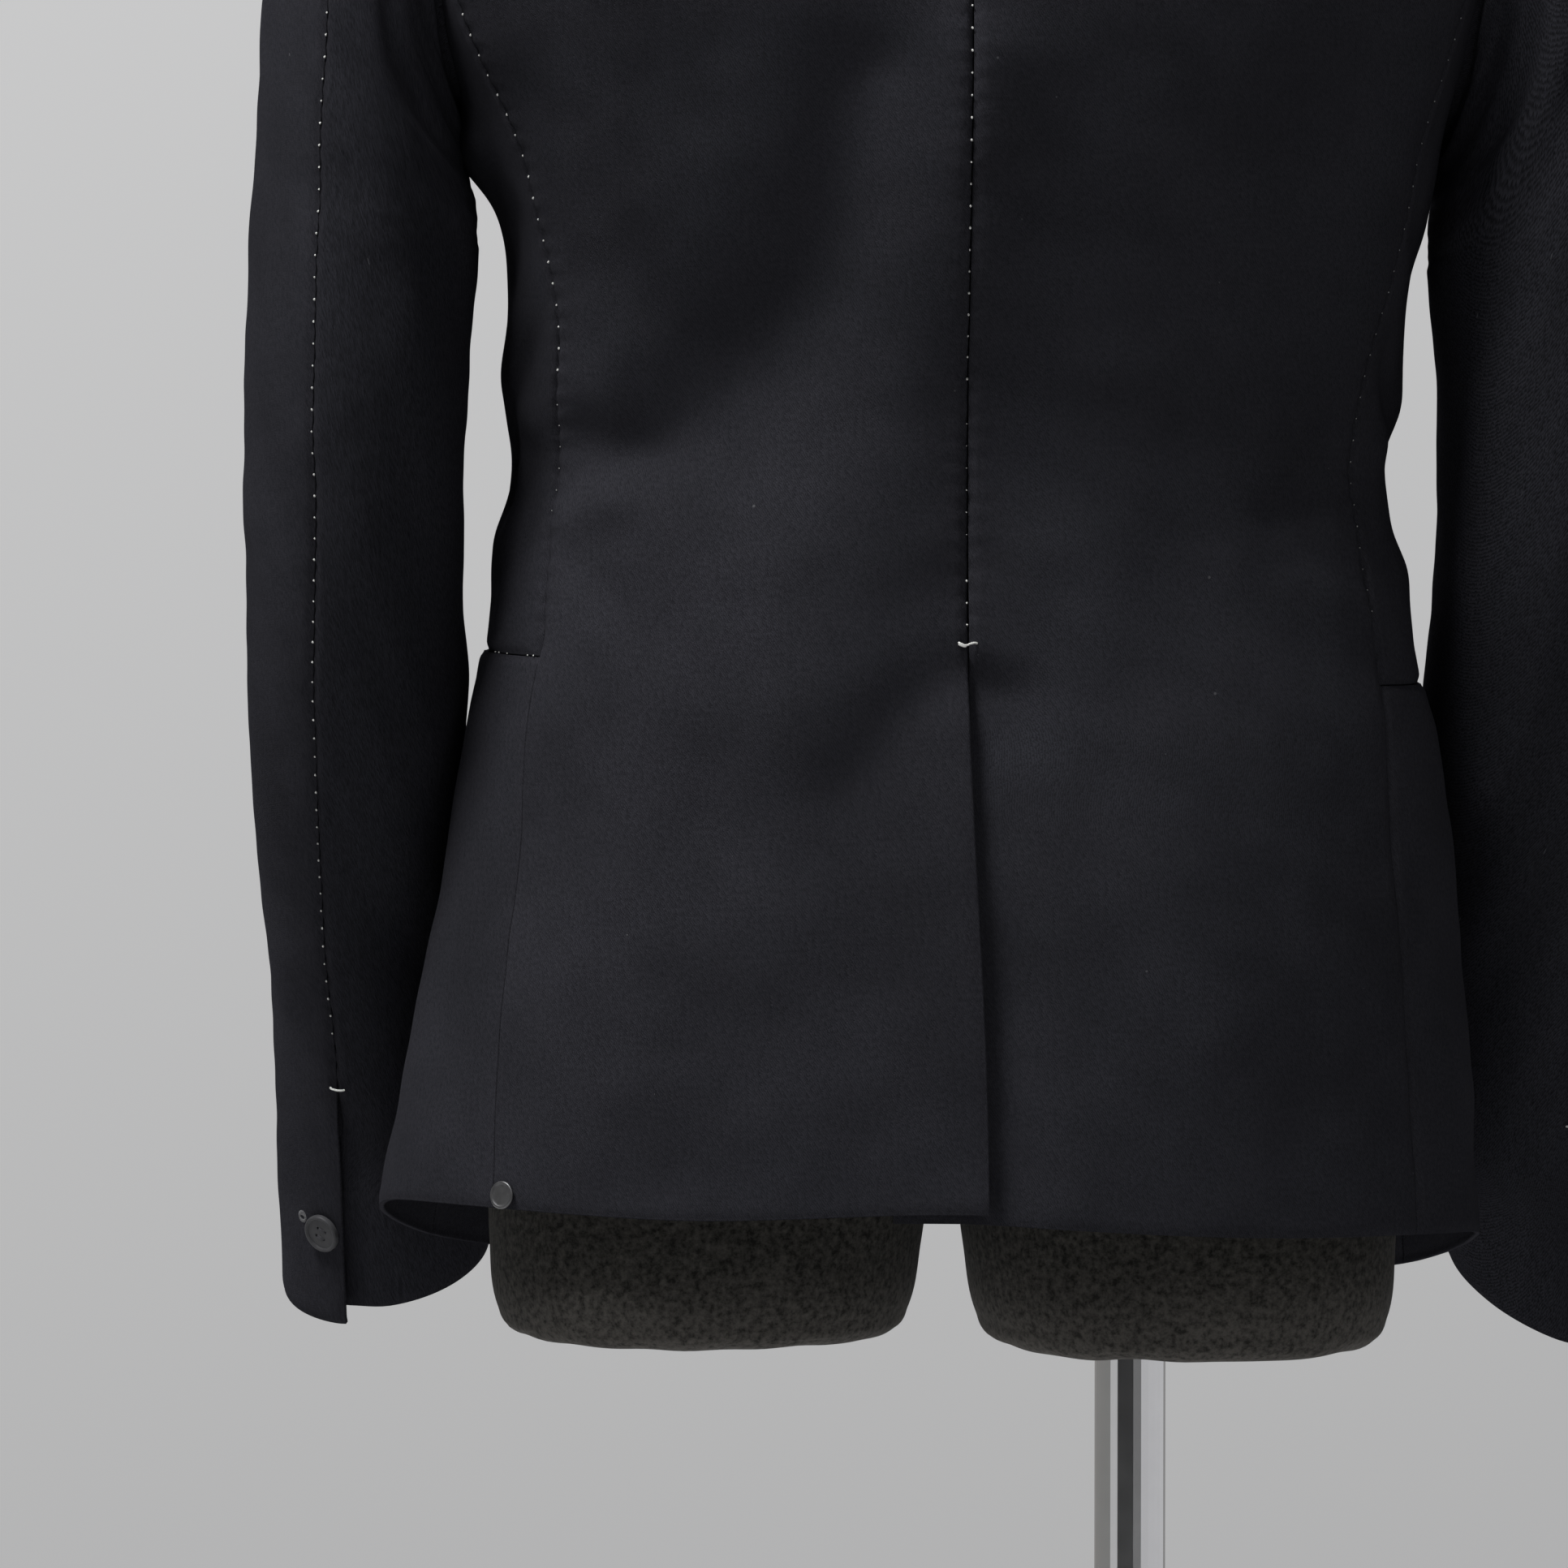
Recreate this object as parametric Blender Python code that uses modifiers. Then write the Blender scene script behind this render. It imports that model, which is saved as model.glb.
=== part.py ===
# A denim blazer worn by a limbless dress form, which stands on a pole and a round plate.
# Metres, +Z up, floor at zero. The front faces -Y, the wearer's left is +X.
# Run with: blender --background --python part.py

from collections import namedtuple
from math import asin, copysign, cos, degrees, exp, pi, radians, sin, sqrt

import bpy
import bmesh
from mathutils import Matrix, Vector

# Cloth and seams
CLOTH = 0.0020              # wall of the body and sleeves, shell and facing together
LAPEL_CLOTH = 0.0024        # lapels and collar hold a canvas, so they are thicker
SEAM_GAP = 0.0004           # between two pieces that are sewn together
SEAM_STRIP = 0.0035         # narrow strip of cloth beside each seam
LAP_CLEARANCE = 0.0008      # air between two layers that lap over each other

# How the jacket hangs: the wearer's right side drops, more from the chest down
HANG_SLOPE = 0.035
HANG_TOP = 1.30
HANG_FULL = 1.05

# Shoulders and neck hole
SHOULDER_Y = 0.012          # the shoulder seam, seen from the side
SHOULDER_TIP_X = 0.2145
SHOULDER_TIP_Z = 1.424
NECK_X = 0.078              # where the shoulder seam meets the neck hole
NECK_Z = 1.468
NAPE_Z = 1.458
NECK_BACK = 0.056           # from the shoulder seam back to the nape
NECK_FRONT = 0.050
FRONT_CORNER = 0.040        # radius of the fronts' bottom corners
SHOULDER_ROUND = 0.085      # height over which the chest rounds in to the shoulder seam
SHOULDER_RISE = 0.145       # from the tops of the body's seams to the shoulder

# Rough sizes of the panels, which set how wide their seam strips are
SKIRT_HEIGHT = 0.205
BODY_HEIGHT = 0.270
BACK_WIDTH = 0.180
SIDE_WIDTH = 0.150
FRONT_WIDTH = 0.190

# Heights of the body's details
POCKET_Z = 1.0125
VENT_TOP_Z = 1.0200
BREAK_Z = 1.112             # where the lapels start to roll
GORGE_Z = 1.405             # where lapel and collar meet on the roll line
ARMHOLE_LOW_Z = 1.215
ARMHOLE_BACK_Z = 1.295      # where the side-back seam runs into the armhole
ARMHOLE_FRONT_Z = 1.272     # where the side-front seam runs into it
ARMHOLE_MIDDLE = 0.55       # its lowest point, as a part of the way across the side panel
FRONT_LAP = 0.016           # each front passes the middle by this much
VENT_UNDERLAP = 0.030
VENT_DRIFT = 0.006          # the vent's flap leans over the middle at the hem
VENT_HEIGHT = 0.200         # height over which it does so
UNDERLAP_START = 0.022      # the underlap leaves the seam this far below the vent's top
UNDERLAP_LENGTH = 0.045     # and has its full width this far below that
SINK_START = 0.008          # the right back starts to sink below the flap above the vent's top
SINK_LENGTH = 0.022
BACK_SINK = (0.012, 0.030)  # full as far as this from the middle, then fading out over this
FRONT_SINK = (0.018, 0.035)
FRONT_SINK_TOP = 1.215      # the right front passes behind the left one below here
FRONT_SINK_LENGTH = 0.045
CUTAWAY_TOP = 1.000         # below this the fronts' edges curve away from the middle
CUTAWAY = 0.040
CUTAWAY_LENGTH = 0.300
ARMHOLE_BLEND = 0.120       # height over which the side-front seam turns into the armhole
POCKET_BACK_TURN = 72.0     # the pocket panel bulges most half way from here to its front seam
POCKET_BULGE = 0.0016
POCKET_BULGE_HEIGHT = 0.060

# The jacket's outer surface level by level: half widths, depths behind and before the
# middle, and how square the section is (2 is an ellipse)
Level = namedtuple("Level", "z left right back front square")
JACKET = [
    Level(0.740, 0.2270, 0.2120, 0.138, 0.139, 2.20),
    Level(0.800, 0.2195, 0.2072, 0.137, 0.135, 2.20),
    Level(0.850, 0.2075, 0.2010, 0.134, 0.131, 2.22),
    Level(0.900, 0.1980, 0.1955, 0.130, 0.127, 2.25),
    Level(0.950, 0.1890, 0.1912, 0.124, 0.122, 2.28),
    Level(0.995, 0.1820, 0.1860, 0.115, 0.119, 2.30),
    Level(1.020, 0.1771, 0.1810, 0.109, 0.117, 2.30),
    Level(1.045, 0.1735, 0.1765, 0.104, 0.116, 2.30),
    Level(1.070, 0.1699, 0.1707, 0.100, 0.116, 2.30),
    Level(1.100, 0.1695, 0.1700, 0.098, 0.117, 2.30),
    Level(1.140, 0.1702, 0.1755, 0.102, 0.122, 2.35),
    Level(1.175, 0.1719, 0.1818, 0.110, 0.127, 2.45),
    Level(1.215, 0.1830, 0.1890, 0.119, 0.131, 2.60),
    Level(1.255, 0.1990, 0.2000, 0.126, 0.133, 2.75),
    Level(1.300, 0.2100, 0.2100, 0.128, 0.130, 2.90),
    Level(1.350, 0.2135, 0.2135, 0.122, 0.122, 3.00),
    Level(1.400, 0.2155, 0.2155, 0.113, 0.110, 3.00),
    Level(1.480, 0.2160, 0.2160, 0.104, 0.098, 3.00),
]

# The side-back seams: how far each lies from the centre back
Seam = namedtuple("Seam", "z left right")
SIDE_BACK_SEAM = [
    Seam(0.760, 0.1775, 0.1725),
    Seam(0.800, 0.1770, 0.1720),
    Seam(0.850, 0.1755, 0.1705),
    Seam(0.900, 0.1713, 0.1680),
    Seam(0.950, 0.1665, 0.1640),
    Seam(0.990, 0.1625, 0.1620),
    Seam(1.020, 0.1580, 0.1600),
    Seam(1.050, 0.1572, 0.1560),
    Seam(1.080, 0.1570, 0.1522),
    Seam(1.105, 0.1545, 0.1518),
    Seam(1.135, 0.1524, 0.1585),
    Seam(1.160, 0.1550, 0.1660),
    Seam(1.185, 0.1605, 0.1715),
    Seam(1.210, 0.1680, 0.1765),
    Seam(1.235, 0.1785, 0.1835),
    Seam(1.260, 0.1880, 0.1895),
    Seam(1.295, 0.1985, 0.1985),
]

# The armhole's back and front edges above those seams: distance from the middle
Armhole = namedtuple("Armhole", "z back front")
ARMHOLE = [
    Armhole(1.260, 0.1960, 0.1860),
    Armhole(1.295, 0.1985, 0.1875),
    Armhole(1.330, 0.1990, 0.1900),
    Armhole(1.360, 0.2008, 0.1952),
    Armhole(1.390, 0.2055, 0.2030),
    Armhole(1.410, 0.2105, 0.2095),
    Armhole(1.424, 0.2145, 0.2145),
]

# The hem's height by the angle round the body, 0 at the centre back, 180 at the centre front
Hem = namedtuple("Hem", "turn z")
HEM = [
    Hem(0, 0.8095),
    Hem(25, 0.8065),
    Hem(60, 0.8055),
    Hem(78, 0.8030),
    Hem(90, 0.7985),
    Hem(102, 0.7905),
    Hem(120, 0.7790),
    Hem(150, 0.7690),
    Hem(200, 0.7650),
]

SIDE_FRONT_TURN = 117.0     # the side-front seam, under the arm
LEFT_FLAP_LIFT = 0.0035     # the left back's hem sits higher than the right's

# The largest soft folds of the back, from one end to the other, + a ridge and - a trough
Fold = namedtuple("Fold", "x0 z0 x1 z1 width rise")
BACK_FOLDS = [
    Fold(0.012, 1.235, 0.142, 1.070, 0.032, 0.0022),
    Fold(0.146, 1.096, 0.092, 1.084, 0.013, -0.0030),
    Fold(0.150, 1.066, 0.108, 1.078, 0.012, 0.0018),
    Fold(0.006, 1.018, 0.062, 0.962, 0.016, -0.0022),
    Fold(-0.008, 1.012, -0.056, 0.955, 0.015, -0.0022),
    Fold(-0.012, 1.196, -0.078, 1.174, 0.014, -0.0016),
    Fold(-0.085, 1.060, -0.086, 1.022, 0.026, -0.0026),
    Fold(0.118, 0.990, 0.128, 0.860, 0.022, 0.0016),
]

# The sleeve's tube: middle, half widths across and fore-and-aft, and how far the
# ring tips in towards the body; the right sleeve is its mirror image, further out
Ring = namedtuple("Ring", "z x y across deep tip")
SLEEVE = [
    Ring(1.170, 0.2245, 0.005, 0.0438, 0.0725, 0.0),
    Ring(1.130, 0.2268, 0.007, 0.0428, 0.0700, 0.0),
    Ring(1.070, 0.2283, 0.002, 0.0420, 0.0660, 0.0),
    Ring(1.000, 0.2278, -0.024, 0.0420, 0.0615, 0.0),
    Ring(0.930, 0.2252, -0.067, 0.0415, 0.0565, 0.0),
    Ring(0.860, 0.2200, -0.101, 0.0415, 0.0510, 3.0),
    Ring(0.800, 0.2172, -0.127, 0.0422, 0.0480, 7.0),
    Ring(0.768, 0.2158, -0.140, 0.0428, 0.0470, 9.0),
]
# the right sleeve hangs further out than the left, swings out towards its cuff and tips more
Swing = namedtuple("Swing", "z out tip")
RIGHT_SLEEVE = [
    Swing(1.170, 0.0050, 0.0),
    Swing(0.930, 0.0050, 0.0),
    Swing(0.860, 0.0160, 10.0),
    Swing(0.800, 0.0290, 24.0),
    Swing(0.768, 0.0370, 30.0),
]
SLEEVE_TUBE_TOP = 1.170
SLEEVE_HEM = 0.768
SLEEVE_SEAM = 0.00060       # gap along the sleeve's own seams, whose cloth turns sharply
SLEEVE_STRIP = 0.0025
SLEEVE_START = 0.0006       # the sleeve starts this far outside the armhole
HEAD_ROLL = 0.22            # how much the sleeve head puffs away from the armhole
HEAD_REACH = 0.42           # tangents of the head, as parts of its length
HEAD_FALL = 1.25
ELBOW_SEAM = (56.0, 67.0)   # angle of the elbow seam at the armhole and at the cuff
INNER_SEAM = 242.0
SLEEVE_HALF = 0.050         # mean radius of the sleeve's tube
SLEEVE_WIDTH = 0.155        # round each half of it
CUFF_VENT_TOP = 0.858
CUFF_LAP_RISE = (0.072, 0.060)  # where the underlap starts below the vent's top, and its length
CUFF_UNDERLAP = 32.0        # degrees that the under sleeve runs on below the flap
CUFF_FLAP_DROP = 0.0088     # the flap hangs lower than the ring that ends the tube
CUFF_FLAP_PART = (0.30, 0.60)   # where its hem starts to rise forward, and over how much
CUFF_UNDER_DROP = 0.0025    # the rest of the hem hangs lower by this

# Lapels and collar
LAPEL_WIDTH = 0.082
LAPEL_SLANT = (14.0, 24.0)  # degrees below level of the lapel's edge, low end and top
LAPEL_LIFT = 0.0030         # how far the roll stands off the chest
COLLAR_SLANT = 12.0
COLLAR_WIDTH = (0.023, 0.040, 0.046)    # fall at the centre back, shoulder and gorge
COLLAR_HEIGHT = (0.036, 0.030, 0.005)   # stand at the same places
COLLAR_SEAT = 0.0013        # air below the collar's stand along the neck seam
COLLAR_TIP = 38.0           # degrees that the collar's own up leans forward at the gorge
COLLAR_SECTION = [          # across the collar: part of the fall's width, part of the height
    (0.00, 0.00),
    (-0.07, 0.50),
    (-0.06, 0.86),
    (0.04, 1.00),
    (0.22, 0.92),
    (0.45, 0.64),
    (0.72, 0.27),
    (1.00, 0.00),
]

# Buttons and rivet
CUFF_BUTTON = 0.0156
FRONT_BUTTON = 0.0210
BUTTON_THICK = 0.0028
BUTTON_HEIGHTS = (1.098, 0.998)
CUFF_BUTTON_Z = 0.7965
CUFF_BUTTON_TURN = 56.0
BUTTON_SEAT = 0.0007
SHANK = 0.0008              # the front's buttons stand off the cloth by their thread
RIVET = 0.0106
RIVET_THICK = 0.0012
RIVET_X = 0.1725
RIVET_Z = 0.8110

# Dress form: half width, depths behind and before, squareness
FormLevel = namedtuple("FormLevel", "z half back front square")
FORM_X = 0.003
FORM = [
    FormLevel(0.838, 0.1740, 0.1100, 0.0850, 2.60),
    FormLevel(0.880, 0.1740, 0.1160, 0.0900, 2.50),
    FormLevel(0.930, 0.1700, 0.1150, 0.0960, 2.35),
    FormLevel(0.980, 0.1620, 0.1020, 0.0980, 2.25),
    FormLevel(1.030, 0.1520, 0.0880, 0.0980, 2.20),
    FormLevel(1.080, 0.1450, 0.0800, 0.0990, 2.20),
    FormLevel(1.130, 0.1480, 0.0860, 0.1040, 2.25),
    FormLevel(1.180, 0.1560, 0.0980, 0.1100, 2.35),
    FormLevel(1.230, 0.1660, 0.1080, 0.1140, 2.45),
    FormLevel(1.280, 0.1760, 0.1120, 0.1130, 2.55),
    FormLevel(1.330, 0.1840, 0.1080, 0.1030, 2.60),
    FormLevel(1.370, 0.1880, 0.0960, 0.0880, 2.50),
    FormLevel(1.400, 0.1900, 0.0820, 0.0700, 2.20),
    FormLevel(1.418, 0.1880, 0.0720, 0.0560, 1.90),
    FormLevel(1.430, 0.1560, 0.0660, 0.0480, 1.70),
    FormLevel(1.443, 0.1180, 0.0620, 0.0440, 1.75),
    FormLevel(1.455, 0.0860, 0.0600, 0.0440, 1.90),
    FormLevel(1.470, 0.0660, 0.0590, 0.0480, 2.00),
    FormLevel(1.500, 0.0580, 0.0580, 0.0500, 2.00),
    FormLevel(1.530, 0.0560, 0.0560, 0.0500, 2.00),
]
CAP_THICK = 0.008
THIGH_TOP = 0.8377
THIGH_FOOT = {1: 0.7575, -1: 0.7520}    # the left thigh is cut a little higher
THIGH_Y = 0.013
Thigh = namedtuple("Thigh", "part inner outer deep")
THIGH = [                   # part of the way up; inner and outer sides from the middle line
    Thigh(0.000, 0.0270, 0.1580, 0.0720),
    Thigh(0.035, 0.0190, 0.1655, 0.0800),
    Thigh(0.130, 0.0135, 0.1710, 0.0850),
    Thigh(0.440, 0.0085, 0.1740, 0.0880),
    Thigh(1.000, 0.0030, 0.1738, 0.0930),
]

# Stand
POLE_X = -0.0697
POLE_Y = 0.013
POLE_RADIUS = 0.0137
PLATE_RADIUS = 0.200
PLATE_THICK = 0.008
PLATE_X = -0.020
SOCKET_RADIUS = 0.024
SOCKET_HEIGHT = 0.034
SEAT_GAP = 0.0003

# Colours: linear RGB, roughness, metal
FINISHES = {
    "cloth": ((0.0135, 0.0135, 0.0165), 0.86, 0.0),
    "under_cloth": ((0.0105, 0.0105, 0.0130), 0.88, 0.0),
    "collar_cloth": ((0.0160, 0.0160, 0.0195), 0.85, 0.0),
    "button": ((0.085, 0.085, 0.090), 0.45, 0.0),
    "rivet": ((0.33, 0.33, 0.34), 0.38, 1.0),
    "form_cloth": ((0.030, 0.027, 0.024), 0.95, 0.0),
    "chrome": ((0.62, 0.62, 0.63), 0.12, 1.0),
}


def clear_scene():
    for item in list(bpy.data.objects):
        bpy.data.objects.remove(item, do_unlink=True)


def mix(a, b, t):
    return a + (b - a) * t


def ease(t):
    t = min(1.0, max(0.0, t))
    return t * t * (3.0 - 2.0 * t)


def column(table, name, at, key="z"):
    """A named column of a table, as a smooth curve through its rows."""
    rows = sorted(table, key=lambda row: getattr(row, key))
    xs = [getattr(row, key) for row in rows]
    ys = [getattr(row, name) for row in rows]
    at = min(xs[-1], max(xs[0], at))
    i = max(k for k in range(len(xs) - 1) if xs[k] <= at)
    steps = [(ys[k + 1] - ys[k]) / (xs[k + 1] - xs[k]) for k in range(len(xs) - 1)]
    span = xs[i + 1] - xs[i]
    slope0 = steps[i] if i == 0 else (steps[i - 1] + steps[i]) / 2
    slope1 = steps[i] if i == len(steps) - 1 else (steps[i] + steps[i + 1]) / 2
    t = (at - xs[i]) / span
    start = ys[i] * (1 + 2 * t) * (1 - t) ** 2 + slope0 * span * t * (1 - t) ** 2
    end = ys[i + 1] * t * t * (3 - 2 * t) + slope1 * span * t * t * (t - 1)
    return start + end


def hang(point):
    """Drop the wearer's right side and raise the left, more towards the hem."""
    share = ease((HANG_TOP - point.z) / (HANG_TOP - HANG_FULL))
    return Vector((point.x, point.y, point.z + HANG_SLOPE * point.x * share))


def shoulder_height(x):
    """Height of the shoulder seam, or of the neck hole's edge nearer the middle."""
    x = abs(x)
    if x < NECK_X:
        return mix(NAPE_Z, NECK_Z, (x / NECK_X) ** 2)
    return mix(NECK_Z, SHOULDER_TIP_Z, (x - NECK_X) / (SHOULDER_TIP_X - NECK_X))


def closing_depth(x, face):
    """Where the back (face 1) or the front (face -1) ends at the top, seen from the side."""
    inside = sqrt(max(0.0, 1.0 - (x / NECK_X) ** 2)) if abs(x) < NECK_X else 0.0
    reach = NECK_BACK if face > 0 else NECK_FRONT
    return SHOULDER_Y + copysign(inside * reach + SEAM_GAP / 2, face)


def fold_rise(x, z):
    """How far the soft folds of the back lift or sink the cloth here."""
    rise = 0.0
    for fold in BACK_FOLDS:
        along = Vector((fold.x1 - fold.x0, fold.z1 - fold.z0))
        here = Vector((x - fold.x0, z - fold.z0))
        t = min(1.0, max(0.0, here.dot(along) / along.length_squared))
        away = (here - along * t).length / fold.width
        rise += fold.rise * (1.0 - 0.6 * t) * exp(-away * away)
    return rise


def plain_skin(side, turn, z):
    """The jacket's smooth outer surface: turn is in degrees from the centre back."""
    s = sin(radians(turn))
    c = cos(radians(turn))
    half = column(JACKET, "left" if side * s >= 0 else "right", z)
    depth = column(JACKET, "back" if c >= 0 else "front", z)
    power = 2.0 / column(JACKET, "square", z)
    x = side * copysign(half * abs(s) ** power, s)
    y = copysign(depth * abs(c) ** power, c)
    rise = (shoulder_height(x) - z) / SHOULDER_ROUND
    if rise < 1.0:
        closed = closing_depth(x, c)
        y = closed + (y - closed) * sqrt(max(0.0, 1.0 - (1.0 - max(0.0, rise)) ** 2))
    return Vector((x, y, z))


def skin(side, turn, z, out=0.0):
    """The outer surface with its folds, or a point moved out from it by a distance."""
    point = plain_skin(side, turn, z)
    beside = plain_skin(side, turn + 0.5, z) - plain_skin(side, turn - 0.5, z)
    above = plain_skin(side, turn, z + 0.001) - plain_skin(side, turn, z - 0.001)
    normal = side * above.cross(beside)
    if normal.length > 0.0:
        normal.normalize()
    if cos(radians(turn)) > 0.0:
        out += fold_rise(point.x, z)
    return point + normal * out


def turn_at(side, x, z):
    """The turn of a place on the back that lies x from the middle on one side."""
    half = column(JACKET, "left" if side * x >= 0 else "right", z)
    square = column(JACKET, "square", z)
    return copysign(degrees(asin(min(1.0, abs(x) / half) ** (square / 2.0))), x)


def front_turn_at(side, x, z):
    return 180.0 - turn_at(side, x, z)


def seam_turn(side, z):
    """The side-back seam, and the armhole's back edge above it."""
    if z >= ARMHOLE_BACK_Z:
        return turn_at(side, column(ARMHOLE, "back", z), z)
    return turn_at(side, column(SIDE_BACK_SEAM, "left" if side > 0 else "right", z), z)


def side_front_turn(side, z):
    """The side-front seam, and the armhole's front edge above it."""
    if z >= ARMHOLE_FRONT_Z:
        return front_turn_at(side, column(ARMHOLE, "front", z), z)
    start = front_turn_at(side, column(ARMHOLE, "front", ARMHOLE_FRONT_Z), ARMHOLE_FRONT_Z)
    return mix(start, SIDE_FRONT_TURN, ease((ARMHOLE_FRONT_Z - z) / ARMHOLE_BLEND))


def roll_x(z):
    """The front's edge: past the middle up to the break, then the roll line to the neck."""
    if z <= BREAK_Z:
        return -FRONT_LAP + CUTAWAY * ease((CUTAWAY_TOP - z) / CUTAWAY_LENGTH)
    return mix(-FRONT_LAP, NECK_X, (z - BREAK_Z) / (NECK_Z - BREAK_Z))


def hem_height(turn, u=0.0):
    return column(HEM, "z", abs(turn), "turn")


def pocket_line(turn, u):
    return POCKET_Z


def top_height(side, turn):
    """The top edge of the back or front at this turn, on the shoulder or the neck hole."""
    return shoulder_height(plain_skin(side, turn, 1.44).x)


def armhole_floor(turn, u):
    """The bottom of the armhole, across the top of the side panel from back (0) to front (1)."""
    if u < ARMHOLE_MIDDLE:
        return mix(ARMHOLE_LOW_Z, ARMHOLE_BACK_Z, (1.0 - u / ARMHOLE_MIDDLE) ** 2)
    ahead = (u - ARMHOLE_MIDDLE) / (1.0 - ARMHOLE_MIDDLE)
    return mix(ARMHOLE_LOW_Z, ARMHOLE_FRONT_Z, ahead * ahead)


def evenly(count, strip=0.0):
    """Even steps from 0 to 1, with a narrow strip of its own at each end."""
    inner = [mix(strip, 1.0 - strip, i / count) for i in range(count + 1)]
    return [0.0] + inner + [1.0] if strip else inner


def rounding(flat, close, strip):
    """Steps from the armhole's seams to the shoulder: flat rows, then rows that round the top."""
    share = SHOULDER_ROUND / SHOULDER_RISE
    turns = [pi / 2 * (1.0 - i / close) for i in range(1, close)] + [strip, 0.0]
    level = [mix(0.0, 1.0 - share, i / flat) for i in range(flat + 1)]
    return level + [1.0 - share * (1.0 - cos(a)) for a in turns]


# Rows of the body's panels, from the hem to the pocket line, the armhole and the shoulder:
# panels that meet at a seam have the same rows there, so their edges stay together
SKIRT_ROWS = evenly(6, SEAM_STRIP / SKIRT_HEIGHT)
BODY_ROWS = evenly(8, SEAM_STRIP / BODY_HEIGHT)
SHOULDER_ROWS = rounding(2, 5, 0.045)


def lay_panel(side, first, last, edges, bands, across, out=None):
    """Points of a panel between two seams, in bands of rows between edges that cross it."""
    rows = []
    for low, high, band in zip(edges, edges[1:], bands):
        for v in band[1 if rows else 0:]:
            row = []
            for u in across:
                z = POCKET_Z
                for _ in range(8):
                    turn = mix(first(z), last(z), u)
                    z = mix(low(turn, u), high(turn, u), v)
                row.append(hang(skin(side, turn, z, out(turn, z) if out else 0.0)))
            rows.append(row)
    return rows


def material(name):
    found = bpy.data.materials.get(name)
    if found:
        return found
    colour, rough, metal = FINISHES[name]
    made = bpy.data.materials.new(name)
    made.use_nodes = True
    shader = made.node_tree.nodes["Principled BSDF"]
    shader.inputs["Base Color"].default_value = (*colour, 1.0)
    shader.inputs["Roughness"].default_value = rough
    shader.inputs["Metallic"].default_value = metal
    made.diffuse_color = (*colour, 1.0)
    return made


def add_object(name, mesh, finish, group):
    made = bpy.data.objects.new(name, mesh)
    mesh.materials.append(material(finish))
    group.objects.link(made)
    return made


def loft(name, rows, finish, group, closed=False, capped=False, flip=False):
    """A skin of quads through rows of points; closed joins each row's ends."""
    cloth = bmesh.new()
    grid = [[cloth.verts.new(point) for point in row] for row in rows]
    for low, high in zip(grid, grid[1:]):
        count = len(low) if closed else len(low) - 1
        for i in range(count):
            j = (i + 1) % len(low)
            corners = [low[i], low[j], high[j], high[i]]
            cloth.faces.new(corners[::-1] if flip else corners)
    if capped:
        cloth.faces.new(grid[0] if flip else grid[0][::-1])
        cloth.faces.new(grid[-1][::-1] if flip else grid[-1])
    mesh = bpy.data.meshes.new(name)
    cloth.to_mesh(mesh)
    cloth.free()
    made = add_object(name, mesh, finish, group)
    mesh.shade_smooth()
    return made


def thicken(sheet, wall):
    """Give an open sheet its cloth wall, inwards from the outer surface."""
    solid = sheet.modifiers.new("wall", "SOLIDIFY")
    solid.thickness = wall
    solid.offset = -1.0
    solid.use_even_offset = False
    return sheet


def cloth_panel(name, rows, group, side, finish="cloth", wall=CLOTH):
    return thicken(loft(name, rows, finish, group, flip=side > 0), wall)


def edge_shift(side, turn, z, gap):
    """Degrees of turn that make a distance along the cloth at this place."""
    step = (plain_skin(side, turn + 0.5, z) - plain_skin(side, turn - 0.5, z)).length
    return gap / step


def make_back(side, group):
    """Half of the back, from the centre seam to the side-back seam and armhole."""
    drift = VENT_DRIFT if side > 0 else 0.0

    def middle(z):
        share = ease((VENT_TOP_Z - z) / VENT_HEIGHT)
        if side > 0:
            return turn_at(side, SEAM_GAP / 2 - drift * share, z)
        under = VENT_UNDERLAP * ease((VENT_TOP_Z - UNDERLAP_START - z) / UNDERLAP_LENGTH)
        return turn_at(side, SEAM_GAP / 2 - under, z)

    def outer(z):
        turn = seam_turn(side, z)
        return turn - edge_shift(side, turn, z, SEAM_GAP / 2)

    def out(turn, z):
        if side > 0:
            return 0.0
        x = plain_skin(side, turn, z).x
        near = 1.0 - ease((-x - BACK_SINK[0]) / BACK_SINK[1])
        return -(CLOTH + 2 * LAP_CLEARANCE) * near * ease((VENT_TOP_Z + SINK_START - z) / SINK_LENGTH)

    def bottom(turn, u):
        return hem_height(turn) + (LEFT_FLAP_LIFT if side > 0 else 0.0) * (1.0 - ease(turn / 30.0))

    def top(turn, u):
        return top_height(side, turn)

    def joint(turn, u):
        return ARMHOLE_BACK_Z

    rows = lay_panel(side, middle, outer, [bottom, pocket_line, joint, top],
                     [SKIRT_ROWS, BODY_ROWS, SHOULDER_ROWS], evenly(9, SEAM_STRIP / BACK_WIDTH), out)
    name = "back_left" if side > 0 else "back_right"
    return cloth_panel(name, rows, group, side)


def make_side(side, group):
    """The side panel, from the pocket's line up to the bottom of the armhole."""
    def first(z):
        turn = seam_turn(side, min(z, ARMHOLE_BACK_Z))
        return turn + edge_shift(side, turn, z, SEAM_GAP / 2)

    def last(z):
        turn = side_front_turn(side, min(z, ARMHOLE_FRONT_Z))
        return turn - edge_shift(side, turn, z, SEAM_GAP / 2)

    def bottom(turn, u):
        return POCKET_Z + SEAM_GAP / 2

    across = evenly(5, SEAM_STRIP / SIDE_WIDTH)
    rows = lay_panel(side, first, last, [bottom, armhole_floor], [BODY_ROWS], across)
    name = "side_left" if side > 0 else "side_right"
    return cloth_panel(name, rows, group, side)


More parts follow.
